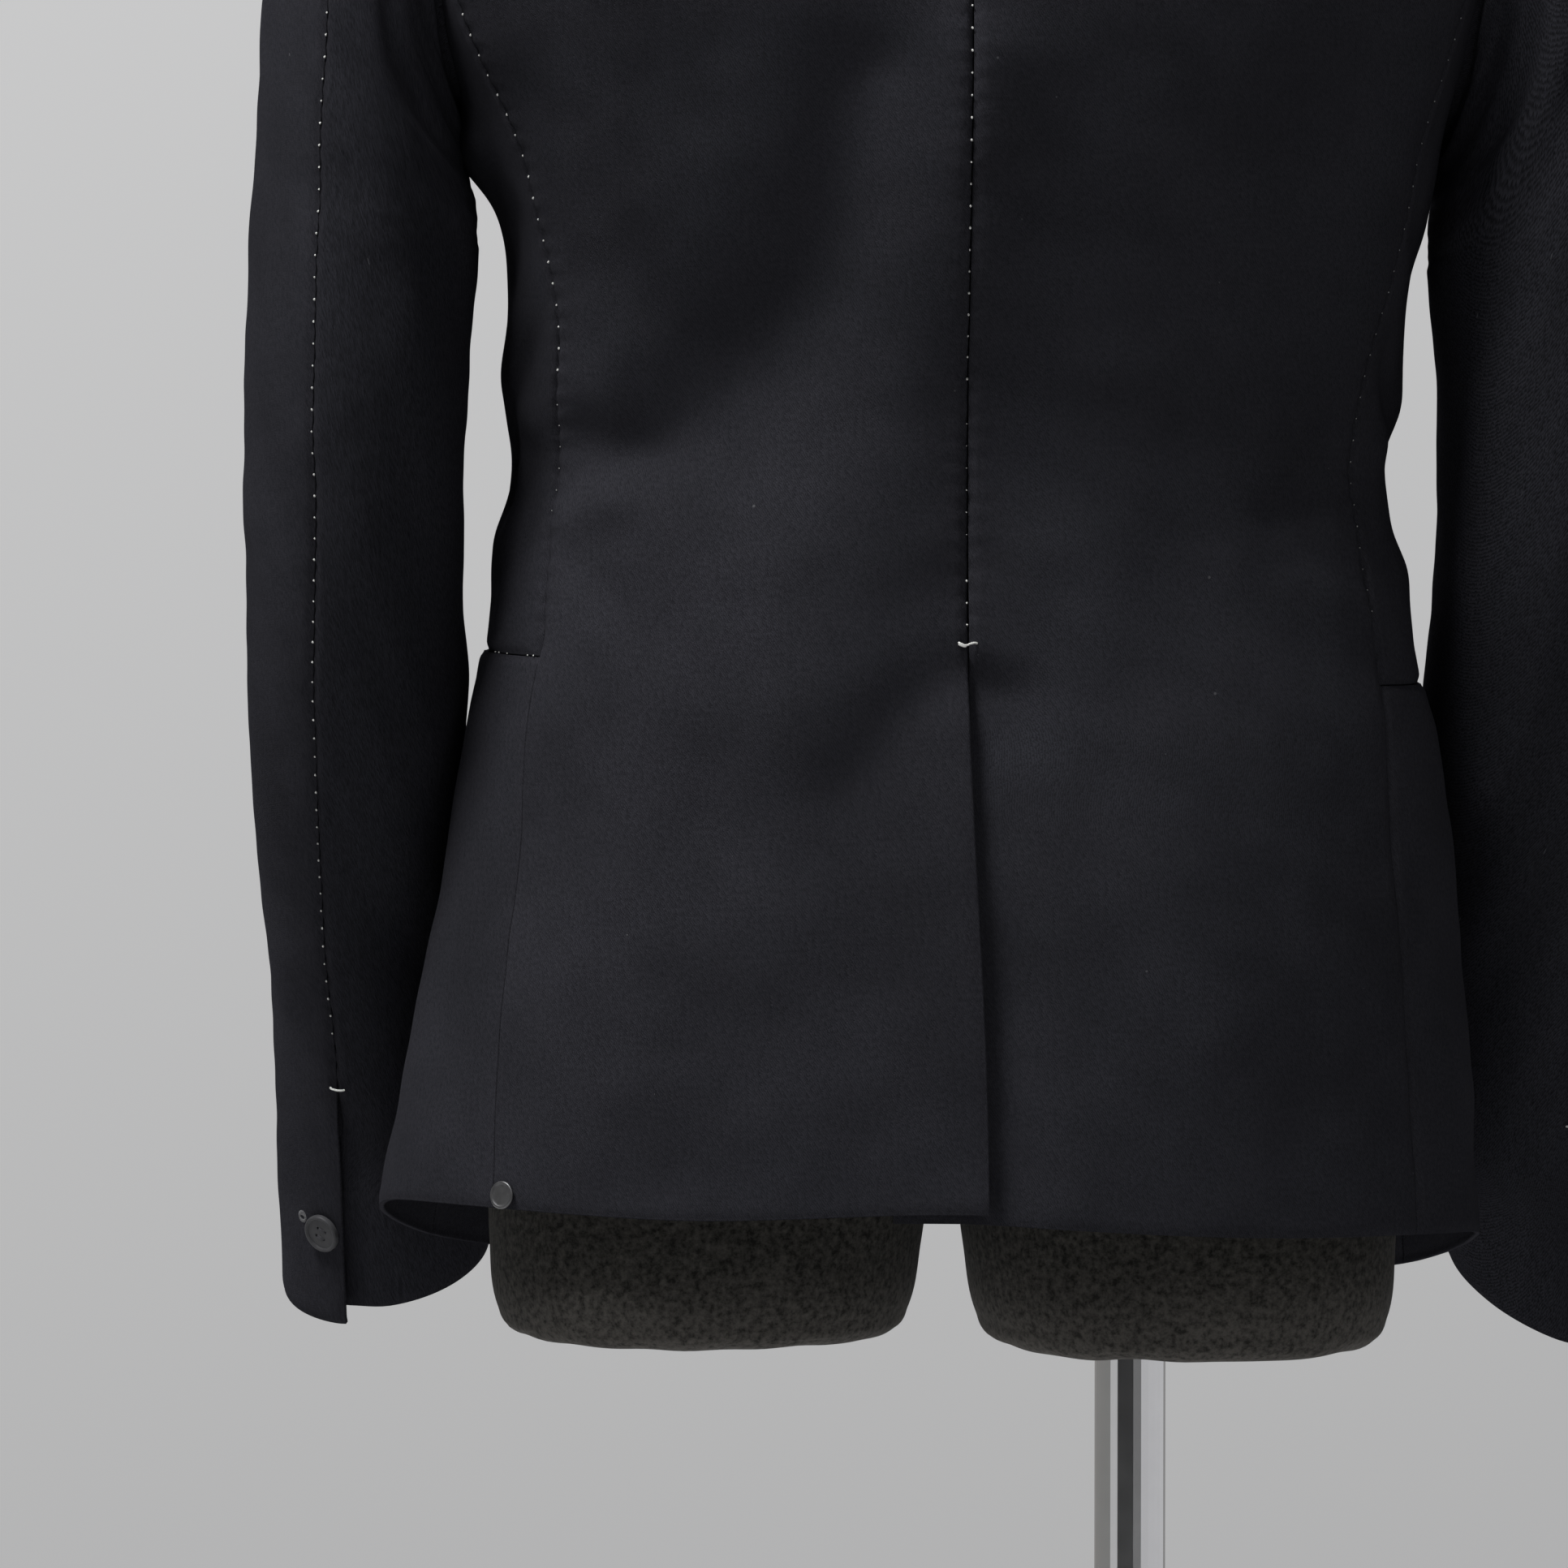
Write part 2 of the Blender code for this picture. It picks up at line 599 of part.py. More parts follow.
def make_pocket(side, group):
    """The pocket panel below the side panel: its top edge is the mouth of the hip pocket."""
    def first(z):
        turn = seam_turn(side, z)
        return turn + edge_shift(side, turn, z, SEAM_GAP / 2)

    def last(z):
        return SIDE_FRONT_TURN - edge_shift(side, SIDE_FRONT_TURN, z, SEAM_GAP / 2)

    def top(turn, u):
        return POCKET_Z - SEAM_GAP / 2

    def out(turn, z):
        part = (turn - POCKET_BACK_TURN) / (SIDE_FRONT_TURN - POCKET_BACK_TURN)
        middle = sin(pi * min(1.0, max(0.0, part)))
        return POCKET_BULGE * middle * ease((z - POCKET_Z) / POCKET_BULGE_HEIGHT + 1.0)

    across = evenly(5, SEAM_STRIP / SIDE_WIDTH)
    rows = lay_panel(side, first, last, [hem_height, top], [SKIRT_ROWS], across, out)
    name = "pocket_left" if side > 0 else "pocket_right"
    return cloth_panel(name, rows, group, side)


def make_front(side, group):
    """A front from the side-front seam to its edge; the left one laps over the right."""
    def first(z):
        turn = side_front_turn(side, z)
        return turn + edge_shift(side, turn, z, SEAM_GAP / 2)

    def last(z):
        return front_turn_at(side, roll_x(z), z)

    def top(turn, u):
        return top_height(side, turn)

    def out(turn, z):
        if side > 0:
            return 0.0
        x = plain_skin(side, turn, z).x
        near = 1.0 - ease((-x - FRONT_SINK[0]) / FRONT_SINK[1])
        return -(CLOTH + LAP_CLEARANCE) * near * ease((FRONT_SINK_TOP - z) / FRONT_SINK_LENGTH)

    def bottom(turn, u):
        z = hem_height(turn)
        inside = plain_skin(side, turn, z).x * side - roll_x(z)
        short = max(0.0, FRONT_CORNER - max(0.0, inside))
        return z + FRONT_CORNER - sqrt(FRONT_CORNER ** 2 - short ** 2)

    def joint(turn, u):
        return ARMHOLE_FRONT_Z

    across = evenly(9, SEAM_STRIP / FRONT_WIDTH)
    across.insert(-2, mix(across[-3], across[-2], 0.5))
    rows = lay_panel(side, first, last, [bottom, pocket_line, joint, top],
                     [SKIRT_ROWS, BODY_ROWS, SHOULDER_ROWS], across, out)
    name = "front_left" if side > 0 else "front_right"
    return cloth_panel(name, rows, group, side)


def lapel_point(side, z, away, out):
    """A place on the chest, measured from the roll line at a height and across from it."""
    share = (z - BREAK_Z) / (GORGE_Z - BREAK_Z)
    slant = radians(mix(*LAPEL_SLANT, share))
    x = roll_x(z) + away * cos(slant)
    low = z - away * sin(slant)
    return skin(side, front_turn_at(side, x, low), low, out)


def lapel_width(share):
    return mix(0.006, LAPEL_WIDTH, share ** 0.82)


def make_lapel(side, group):
    """The turned-back top of a front, on the chest beside the roll line."""
    rows = []
    across = [0.0, 0.06, 0.25, 0.5, 0.75, 0.95, 1.0]
    start = BREAK_Z + (0.004 if side > 0 else 0.052)
    levels = [mix(start, GORGE_Z - SEAM_GAP, i / 12) for i in range(13)]
    for z in levels:
        share = (z - BREAK_Z) / (GORGE_Z - BREAK_Z)
        hidden = max(0.0, 0.003 - 2.0 * roll_x(z)) if side < 0 else 0.0
        row = []
        for part in across:
            away = mix(hidden, lapel_width(share), part)
            lift = LAPEL_LIFT * sin(pi * part ** 0.7) * ease(share * 3)
            row.append(hang(lapel_point(side, z, away, LAPEL_CLOTH + LAP_CLEARANCE + lift)))
        rows.append(row)
    name = "lapel_left" if side > 0 else "lapel_right"
    return cloth_panel(name, rows, group, -side, "collar_cloth", LAPEL_CLOTH)


def shoulder_surface(x, y):
    """The jacket's upper surface over a place on the shoulder."""
    face = 1.0 if y >= SHOULDER_Y else -1.0
    closed = closing_depth(x, face)
    z = shoulder_height(x)
    for _ in range(6):
        half = column(JACKET, "left", z)
        square = column(JACKET, "square", z)
        depth = column(JACKET, "back" if face > 0 else "front", z)
        full = face * depth * (1.0 - min(1.0, abs(x) / half) ** square) ** (1.0 / square)
        part = min(0.995, max(0.0, (y - closed) / (full - closed)))
        z = shoulder_height(x) - SHOULDER_ROUND * (1.0 - sqrt(1.0 - part * part))
    return Vector((x, y, z))


def collar_ground(t, away):
    """A place on the jacket beside the neckline: t runs from the nape (0) by the shoulder (1)
    to the gorge (2), and away is the distance out from the neckline."""
    if t <= 1.0:
        round_neck = radians(90.0 * t)
        x = (NECK_X + away) * sin(round_neck)
        y = SHOULDER_Y + (NECK_BACK + away) * cos(round_neck)
        return shoulder_surface(x, y)
    z = mix(NECK_Z, GORGE_Z + SEAM_GAP, t - 1.0)
    fall = (NECK_Z - SHOULDER_TIP_Z) / (SHOULDER_TIP_X - NECK_X)
    slant = mix(fall, sin(radians(COLLAR_SLANT)), ease((t - 1.0) * 2))
    x = roll_x(z) + away
    low = min(z - away * slant, shoulder_height(x))
    return plain_skin(1, front_turn_at(1, x, low), low)


def three_way(values, t):
    """A value at the nape, shoulder and gorge, eased in between."""
    return mix(values[0], values[1], ease(t)) if t <= 1.0 else mix(values[1], values[2], ease(t - 1.0))


def make_collar(group):
    """Stand and fall in one folded piece, half of it built and mirrored."""
    rows = []
    for i in range(17):
        t = i / 8
        width = three_way(COLLAR_WIDTH, t)
        height = three_way(COLLAR_HEIGHT, t)
        row = []
        for part, rise in COLLAR_SECTION:
            ground = collar_ground(t, part * width - (0.0008 if t > 1.0 else 0.0))
            lift = LAPEL_CLOTH + LAP_CLEARANCE if part > 0.5 else COLLAR_SEAT
            tip = radians(COLLAR_TIP * max(0.0, t - 1.0))
            up = Vector((0, -sin(tip), cos(tip)))
            row.append(ground + up * (rise * height + lift * (1.0 + 0.6 * (part > 0.5))))
        rows.append(row)
    sheet = loft("collar", rows, "collar_cloth", group, flip=True)
    mirror = sheet.modifiers.new("other half", "MIRROR")
    mirror.merge_threshold = 0.0001
    return thicken(sheet, LAPEL_CLOTH)


def armhole_place(side, angle):
    """A place on the armhole: angle 0 at the shoulder, 90 behind, 180 under, 270 before."""
    middle = (SHOULDER_TIP_Z + ARMHOLE_LOW_Z) / 2
    z = middle + (SHOULDER_TIP_Z - ARMHOLE_LOW_Z) / 2 * cos(radians(angle))
    behind = angle <= 180.0
    joint = ARMHOLE_BACK_Z if behind else ARMHOLE_FRONT_Z
    if z >= joint:
        return skin(side, seam_turn(side, z) if behind else side_front_turn(side, z), z)
    part = sqrt((z - ARMHOLE_LOW_Z) / (joint - ARMHOLE_LOW_Z))
    u = ARMHOLE_MIDDLE * (1.0 - part) if behind else mix(ARMHOLE_MIDDLE, 1.0, part)
    first = seam_turn(side, min(z, ARMHOLE_BACK_Z))
    last = side_front_turn(side, min(z, ARMHOLE_FRONT_Z))
    return skin(side, mix(first, last, u), z)


def tube_middle(side, z):
    """The middle of the sleeve's tube, as if it were the left one."""
    outward = column(RIGHT_SLEEVE, "out", z) if side < 0 else 0.0
    return Vector((column(SLEEVE, "x", z) + outward, column(SLEEVE, "y", z), z))


def tube_point(side, angle, z, out=0.0):
    """A place on the sleeve's tube, on a ring square to the arm."""
    step = 0.004
    inner = min(max(z, SLEEVE_HEM + step), SLEEVE_TUBE_TOP - step)
    ahead = tube_middle(side, inner + step)
    behind = tube_middle(side, inner - step)
    axis = (ahead - behind).normalized()
    across = (Vector((1, 0, 0)) - axis * axis.x).normalized()
    deep = axis.cross(across)
    tip = radians(column(SLEEVE if side > 0 else RIGHT_SLEEVE, "tip", z))
    across = (across * cos(tip) - axis * sin(tip)).normalized()
    middle = tube_middle(side, z)
    spread = across * cos(radians(angle)) * (column(SLEEVE, "across", z) + out)
    spread += deep * sin(radians(angle)) * (column(SLEEVE, "deep", z) + out)
    point = middle + spread
    return Vector((side * point.x, point.y, point.z))


def sleeve_point(side, angle, t, out=0.0):
    """A place on the sleeve: t is 0 at the armhole, 1 at the top of the tube, 2 at the hem."""
    if t >= 1.0:
        return tube_point(side, angle, mix(SLEEVE_TUBE_TOP, SLEEVE_HEM, t - 1.0), out)
    start = armhole_place(side, angle % 360.0)
    end = tube_point(side, angle, SLEEVE_TUBE_TOP, out)
    around = radians(angle)
    leave = Vector((side, HEAD_ROLL * sin(around), HEAD_ROLL * cos(around))).normalized()
    start = start + leave * SLEEVE_START
    length = (end - start).length
    below = tube_point(side, angle, SLEEVE_TUBE_TOP - 0.004, out)
    arrive = (below - end).normalized()
    h00 = (1 + 2 * t) * (1 - t) ** 2
    h10 = t * (1 - t) ** 2
    h01 = t * t * (3 - 2 * t)
    h11 = t * t * (t - 1)
    leave *= HEAD_REACH * length
    arrive *= HEAD_FALL * length
    return start * h00 + leave * h10 + end * h01 + arrive * h11


def elbow_angle(t):
    return mix(*ELBOW_SEAM, ease(t / 1.3))


def sleeve_steps(head, tube):
    """Rows from the armhole to the hem, narrow at both ends."""
    top = [0.0, 0.025] + [i / head for i in range(1, head + 1)]
    return top + [1.0 + i / tube for i in range(1, tube)] + [1.99, 2.0]


def make_top_sleeve(side, group):
    """The outer half of the sleeve, whose free edge laps over the vent at the cuff."""
    rows = []
    half_gap = degrees(SLEEVE_SEAM / 2 / SLEEVE_HALF)
    strip = SLEEVE_STRIP / SLEEVE_WIDTH
    for t in sleeve_steps(6, 13):
        first = elbow_angle(t) - half_gap
        last = INNER_SEAM - 360.0 + half_gap
        row = []
        for u in evenly(9, strip):
            point = sleeve_point(side, mix(first, last, u), t)
            forward = ease((u - CUFF_FLAP_PART[0]) / CUFF_FLAP_PART[1])
            drop = mix(CUFF_FLAP_DROP, CUFF_UNDER_DROP, forward) * ease((t - 1.9) / 0.1)
            row.append(hang(point - Vector((0, 0, drop))))
        rows.append(row)
    name = "top_sleeve_left" if side > 0 else "top_sleeve_right"
    return cloth_panel(name, rows, group, -side)


def make_under_sleeve(side, group):
    """The inner half of the sleeve, which runs on below the flap at the cuff."""
    rows = []
    half_gap = degrees(SLEEVE_SEAM / 2 / SLEEVE_HALF)
    strip = SLEEVE_STRIP / SLEEVE_WIDTH
    vent_t = 1.0 + (SLEEVE_TUBE_TOP - CUFF_VENT_TOP) / (SLEEVE_TUBE_TOP - SLEEVE_HEM)
    for t in sleeve_steps(6, 13):
        lap = CUFF_UNDERLAP * ease((t - vent_t - CUFF_LAP_RISE[0]) / CUFF_LAP_RISE[1])
        seam = elbow_angle(t) + half_gap
        row = []
        for u in evenly(8, strip):
            angle = mix(seam - lap, INNER_SEAM - half_gap, u)
            near = 1.0 - ease((angle - seam - 6.0) / 22.0)
            sink = (CLOTH + 2 * LAP_CLEARANCE) * near * ease((t - vent_t + 0.02) / 0.05)
            drop = CUFF_UNDER_DROP * ease((t - 1.9) / 0.1)
            row.append(hang(sleeve_point(side, angle, t, -sink) - Vector((0, 0, drop))))
        rows.append(row)
    name = "under_sleeve_left" if side > 0 else "under_sleeve_right"
    return cloth_panel(name, rows, group, side, "under_cloth")


def turned(name, profile, steps, finish, group, ring=False):
    """A turned solid: the profile's points (radius, height) run down its outer side."""
    mesh = bpy.data.meshes.new(name)
    points = [(radius, 0.0, height) for radius, height in profile]
    edges = [(i, i + 1) for i in range(len(points) - 1)]
    if ring:
        edges.append((len(points) - 1, 0))
    mesh.from_pydata(points, edges, [])
    made = add_object(name, mesh, finish, group)
    screw = made.modifiers.new("turn", "SCREW")
    screw.steps = steps
    screw.render_steps = steps
    screw.use_merge_vertices = True
    screw.merge_threshold = 0.00005
    screw.use_smooth_shade = True
    return made


def face_out(item, place, normal):
    """Stand a turned piece on a surface, its own up along the surface's normal."""
    item.matrix_world = Matrix.Translation(place) @ normal.to_track_quat("Z", "Y").to_matrix().to_4x4()
    return item


def make_button(name, width, place, normal, group):
    """A plain button with a raised rim round a dished middle."""
    r = width / 2
    h = BUTTON_THICK
    profile = [(0.0, h * 0.62), (r * 0.62, h * 0.62), (r * 0.76, h), (r * 0.92, h),
               (r, h * 0.62), (r * 0.9, h * 0.15), (r * 0.7, 0.0), (0.0, 0.0)]
    return face_out(turned(name, profile, 16, "button", group), place, normal)


def surface_normal(point_at, a, b, step_a, step_b):
    """Outward normal of a surface given as a function of two measures."""
    first = point_at(a + step_a, b) - point_at(a - step_a, b)
    second = point_at(a, b + step_b) - point_at(a, b - step_b)
    return first.cross(second).normalized()


def make_buttons(group):
    """One button on each cuff's flap and two down the front."""
    cuff_t = 1.0 + (SLEEVE_TUBE_TOP - CUFF_BUTTON_Z) / (SLEEVE_TUBE_TOP - SLEEVE_HEM)
    for side, name in ((1, "cuff_button_left"), (-1, "cuff_button_right")):
        def at(angle, t, side=side):
            return hang(sleeve_point(side, angle, t))
        normal = surface_normal(at, CUFF_BUTTON_TURN, cuff_t, 2.0, 0.01) * -side
        place = at(CUFF_BUTTON_TURN, cuff_t) + normal * BUTTON_SEAT
        make_button(name, CUFF_BUTTON, place, normal, group)
    for number, height in enumerate(BUTTON_HEIGHTS, 1):
        def at(turn, z):
            return hang(skin(1, turn, z))
        normal = surface_normal(at, 180.0, height, 2.0, 0.01) * -1.0
        place = at(180.0, height) + normal * SHANK
        make_button(f"front_button_{number}", FRONT_BUTTON, place, normal, group)


def make_rivet(group):
    """A flat metal rivet near the left back's hem, its face left plain."""
    def at(turn, z):
        return hang(skin(1, turn, z))
    turn = turn_at(1, RIVET_X, RIVET_Z)
    normal = surface_normal(at, turn, RIVET_Z, 1.0, 0.004) * -1.0
    place = at(turn, RIVET_Z) + normal * BUTTON_SEAT
    r = RIVET / 2
    h = RIVET_THICK
    profile = [(0.0, h), (r * 0.84, h), (r * 0.95, h * 0.8), (r, h * 0.45), (r * 0.93, 0.0), (0.0, 0.0)]
    return face_out(turned("rivet", profile, 20, "rivet", group), place, normal)


def oval(level, count, middle_x, middle_y=0.0):
    """A level section of the dress form."""
    row = []
    for i in range(count):
        a = 2 * pi * i / count
        s, c = sin(a), cos(a)
        power = 2.0 / level.square
        depth = level.back if c >= 0 else level.front
        x = middle_x + copysign(level.half * abs(s) ** power, s)
        y = middle_y + copysign(depth * abs(c) ** power, c)
        row.append(Vector((x, y, level.z)))
    return row


def make_form(group):
    """The torso to the neck, its turned cap and the two short thighs."""
    body = loft("form_torso", [oval(level, 28, FORM_X) for level in FORM], "form_cloth", group,
                closed=True, capped=True, flip=True)
    top = FORM[-1]
    cap_profile = [(0.0, CAP_THICK), (top.half * 0.80, CAP_THICK), (top.half * 0.95, CAP_THICK * 0.6),
                   (top.half * 0.99, 0.0), (0.0, 0.0)]
    cap = turned("form_neck_cap", cap_profile, 28, "chrome", group)
    cap.scale = (1.0, (top.back + top.front) / 2 / top.half, 1.0)
    cap.location = (FORM_X, (top.back - top.front) / 2, top.z + SEAT_GAP)
    for side, name in ((1, "form_thigh_left"), (-1, "form_thigh_right")):
        rows = []
        for level in THIGH:
            middle = FORM_X + side * (level.inner + level.outer) / 2
            half = (level.outer - level.inner) / 2
            z = mix(THIGH_FOOT[side], THIGH_TOP, level.part)
            rows.append(oval(FormLevel(z, half, level.deep, level.deep, 2.3), 22, middle, THIGH_Y))
        loft(name, rows, "form_cloth", group, closed=True, capped=True, flip=True)
    return body


def make_stand(group):
    """A chrome pole from the right thigh down to a socket on a round plate."""
    r = PLATE_RADIUS
    h = PLATE_THICK
    plate_profile = [(0.0, h), (r * 0.955, h), (r * 0.988, h * 0.85), (r, h * 0.45), (r, 0.0), (0.0, 0.0)]
    plate = turned("stand_plate", plate_profile, 48, "chrome", group)
    plate.location = (PLATE_X, POLE_Y, 0.0)
    s = SOCKET_RADIUS
    t = SOCKET_HEIGHT
    bore = POLE_RADIUS + 0.0005
    socket_profile = [(bore, t), (s * 0.72, t), (s * 0.80, t * 0.9), (s * 0.86, t * 0.3),
                      (s * 1.3, t * 0.12), (s * 1.35, 0.0), (bore, 0.0)]
    socket = turned("stand_socket", socket_profile, 24, "chrome", group, ring=True)
    socket.location = (POLE_X, POLE_Y, h + SEAT_GAP)
    low = h + SEAT_GAP
    high = THIGH_FOOT[-1] - SEAT_GAP
    bpy.ops.mesh.primitive_cylinder_add(vertices=28, radius=POLE_RADIUS, depth=high - low,
                                        location=(POLE_X, POLE_Y, (low + high) / 2))
    pole = bpy.context.object
    pole.name = "stand_pole"
    pole.data.name = "stand_pole"
    pole.data.materials.append(material("chrome"))
    for owner in list(pole.users_collection):
        owner.objects.unlink(pole)
    group.objects.link(pole)
    pole.data.shade_smooth()
    pole.data.set_sharp_from_angle(angle=radians(40))


def main():
    clear_scene()
    group = bpy.data.collections.new("denim_blazer")
    bpy.context.scene.collection.children.link(group)
    for side in (1, -1):
        make_back(side, group)
        make_side(side, group)
        make_pocket(side, group)
        make_front(side, group)
        make_lapel(side, group)
        make_top_sleeve(side, group)
        make_under_sleeve(side, group)
    make_collar(group)
    make_buttons(group)
    make_rivet(group)
    make_form(group)
    make_stand(group)


main()
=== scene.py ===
# The looks of a denim blazer worn by a dress form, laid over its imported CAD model.
# Metres, +Z up. The front faces -Y, the wearer's left is +X, and the camera stands behind.
import bpy
import bmesh
import numpy as np
from math import cos, pi, radians, sin
from mathutils import Matrix, Vector


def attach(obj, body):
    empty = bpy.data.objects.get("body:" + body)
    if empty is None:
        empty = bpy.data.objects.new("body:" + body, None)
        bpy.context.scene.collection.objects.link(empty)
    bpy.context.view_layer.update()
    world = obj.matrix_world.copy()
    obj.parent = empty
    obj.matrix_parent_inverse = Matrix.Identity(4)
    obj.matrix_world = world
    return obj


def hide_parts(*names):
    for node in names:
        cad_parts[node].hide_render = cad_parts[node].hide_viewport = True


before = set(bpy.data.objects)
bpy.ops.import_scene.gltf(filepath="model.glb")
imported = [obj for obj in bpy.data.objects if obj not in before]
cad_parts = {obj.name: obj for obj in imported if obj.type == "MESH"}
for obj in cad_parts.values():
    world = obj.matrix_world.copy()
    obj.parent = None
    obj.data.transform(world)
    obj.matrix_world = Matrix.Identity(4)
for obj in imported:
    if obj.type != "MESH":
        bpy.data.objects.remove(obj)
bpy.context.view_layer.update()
print("frame loaded:", len(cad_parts), "nodes")


# Small helpers for whole arrays of places
def mix(a, b, t):
    return a + (b - a) * t


def ease(t):
    t = np.clip(t, 0.0, 1.0)
    return t * t * (3.0 - 2.0 * t)


def vec(x, y, z):
    return np.stack(np.broadcast_arrays(x, y, z), axis=-1).astype(float)


def unit(v):
    return v / np.maximum(np.linalg.norm(v, axis=-1, keepdims=True), 1e-12)


def column(table, name, at):
    # a smooth curve through one column of a short table; its first column is the key
    xs = np.asarray(next(iter(table.values())), float)
    ys = np.asarray(table[name], float)
    at = np.clip(np.asarray(at, float), xs[0], xs[-1])
    i = np.clip(np.searchsorted(xs, at, side="right") - 1, 0, len(xs) - 2)
    steps = np.diff(ys) / np.diff(xs)
    slopes = np.concatenate([[steps[0]], (steps[1:] + steps[:-1]) / 2, [steps[-1]]])
    span = xs[i + 1] - xs[i]
    t = (at - xs[i]) / span
    low = ys[i] * (1 + 2 * t) * (1 - t) ** 2 + slopes[i] * span * t * (1 - t) ** 2
    high = ys[i + 1] * t * t * (3 - 2 * t) + slopes[i + 1] * span * t * t * (t - 1)
    return low + high


def uneven(a, b, size, seed):
    # slow smooth unevenness over two measures in metres, the same every run, about -1 to 1
    total = 0.0
    for k in range(7):
        lean = seed * 1.7 + k * 2.399
        total = total + np.sin((a * cos(lean) + b * sin(lean)) * 2 * pi / size * (0.6 + 0.2 * k) + lean * 5.0)
    return total / 3.0


def foldsRise(folds, a, b):
    # soft troughs (-) and ridges (+), each along a slightly bent line between two ends
    rise = 0.0
    for a0, b0, a1, b1, width, height, bend in folds:
        da, db = a1 - a0, b1 - b0
        long2 = da * da + db * db
        t = np.clip(((a - a0) * da + (b - b0) * db) / long2, 0.0, 1.0)
        bow = bend * 4.0 * t * (1.0 - t)
        offA = a - a0 - da * t + db * bow
        offB = b - b0 - db * t - da * bow
        away = np.sqrt(offA ** 2 + offB ** 2) / (width * (0.75 + 0.5 * t))
        rise = rise + height * (0.55 + 0.45 * np.sin(pi * (0.15 + 0.7 * t))) * np.exp(-away ** 2)
    return rise


# The body of the jacket: sizes in metres, heights from the floor, turns in degrees from the
# centre back (0) round the side (90) to the centre front (180)
jacket = {
    "z": [0.740, 0.800, 0.850, 0.900, 0.950, 0.995, 1.020, 1.045, 1.070,
          1.100, 1.140, 1.175, 1.215, 1.255, 1.300, 1.350, 1.400, 1.480],
    "left": [0.2270, 0.2195, 0.2075, 0.1980, 0.1890, 0.1820, 0.1771, 0.1735, 0.1699,
             0.1695, 0.1702, 0.1719, 0.1830, 0.1990, 0.2100, 0.2135, 0.2155, 0.2160],
    "right": [0.2120, 0.2072, 0.2010, 0.1955, 0.1912, 0.1860, 0.1810, 0.1765, 0.1707,
              0.1700, 0.1755, 0.1818, 0.1890, 0.2000, 0.2100, 0.2135, 0.2155, 0.2160],
    "back": [0.138, 0.137, 0.134, 0.130, 0.124, 0.115, 0.109, 0.104, 0.100,
             0.098, 0.102, 0.110, 0.119, 0.126, 0.128, 0.122, 0.113, 0.104],
    "front": [0.139, 0.135, 0.131, 0.127, 0.122, 0.119, 0.117, 0.116, 0.116,
              0.117, 0.122, 0.127, 0.131, 0.133, 0.130, 0.122, 0.110, 0.098],
    "square": [2.20, 2.20, 2.22, 2.25, 2.28, 2.30, 2.30, 2.30, 2.30,
               2.30, 2.35, 2.45, 2.60, 2.75, 2.90, 3.00, 3.00, 3.00],
}
sideBackSeam = {
    "z": [0.760, 0.800, 0.850, 0.900, 0.950, 0.990, 1.020, 1.050, 1.080,
          1.105, 1.135, 1.160, 1.185, 1.210, 1.235, 1.260, 1.295],
    "left": [0.1775, 0.1770, 0.1755, 0.1713, 0.1665, 0.1625, 0.1580, 0.1572, 0.1570,
             0.1545, 0.1524, 0.1550, 0.1605, 0.1680, 0.1785, 0.1880, 0.1985],
    "right": [0.1725, 0.1720, 0.1705, 0.1680, 0.1640, 0.1620, 0.1600, 0.1560, 0.1522,
              0.1518, 0.1585, 0.1660, 0.1715, 0.1765, 0.1835, 0.1895, 0.1985],
}
armholeEdge = {
    "z": [1.260, 1.295, 1.330, 1.360, 1.390, 1.410, 1.424],
    "back": [0.1960, 0.1985, 0.1990, 0.2008, 0.2055, 0.2105, 0.2145],
    "front": [0.1860, 0.1875, 0.1900, 0.1952, 0.2030, 0.2095, 0.2145],
}
hemLine = {
    "turn": [0, 25, 60, 78, 90, 102, 120, 150, 200],
    "z": [0.8095, 0.8065, 0.8055, 0.8030, 0.7985, 0.7905, 0.7790, 0.7690, 0.7650],
}
tailoring = {
    "cloth": 0.0018, "collarCloth": 0.0022, "sewGap": 0.00045, "lap": 0.0008,
    "hangSlope": 0.035, "hangTop": 1.30, "hangFull": 1.05,
    "shoulderY": 0.012, "tipX": 0.2145, "tipZ": 1.424, "neckX": 0.078, "neckZ": 1.468,
    "napeZ": 1.458, "neckBack": 0.056, "neckFront": 0.050, "shoulderRound": 0.085,
    "pocketZ": 1.0125, "ventTop": 1.0200,
    "breakZ": 1.112, "gorgeZ": 1.405, "frontLap": 0.016, "frontCorner": 0.040,
    "cutaway": 0.040, "cutawayTop": 1.0, "cutawayReach": 0.30,
    "armholeLow": 1.215, "armholeBack": 1.295, "armholeFront": 1.272, "armholeMiddle": 0.55,
    "sideFrontTurn": 117.0, "pickStitch": 0.0084, "turnRun": 0.0028,
}


def hang(points):
    # the wearer's right side drops, more from the chest down
    share = ease((tailoring["hangTop"] - points[..., 2]) / (tailoring["hangTop"] - tailoring["hangFull"]))
    moved = points.copy()
    moved[..., 2] += tailoring["hangSlope"] * points[..., 0] * share
    return moved


def shoulderHeight(x):
    k = tailoring
    x = np.abs(x)
    slope = mix(k["neckZ"], k["tipZ"], (x - k["neckX"]) / (k["tipX"] - k["neckX"]))
    return np.where(x < k["neckX"], mix(k["napeZ"], k["neckZ"], (x / k["neckX"]) ** 2), slope)


def closingDepth(x, behind):
    k = tailoring
    inside = np.sqrt(np.clip(1.0 - (x / k["neckX"]) ** 2, 0.0, 1.0))
    back = inside * k["neckBack"] + k["sewGap"] / 2
    front = inside * k["neckFront"] + k["sewGap"] / 2
    return k["shoulderY"] + np.where(behind, back, -front)


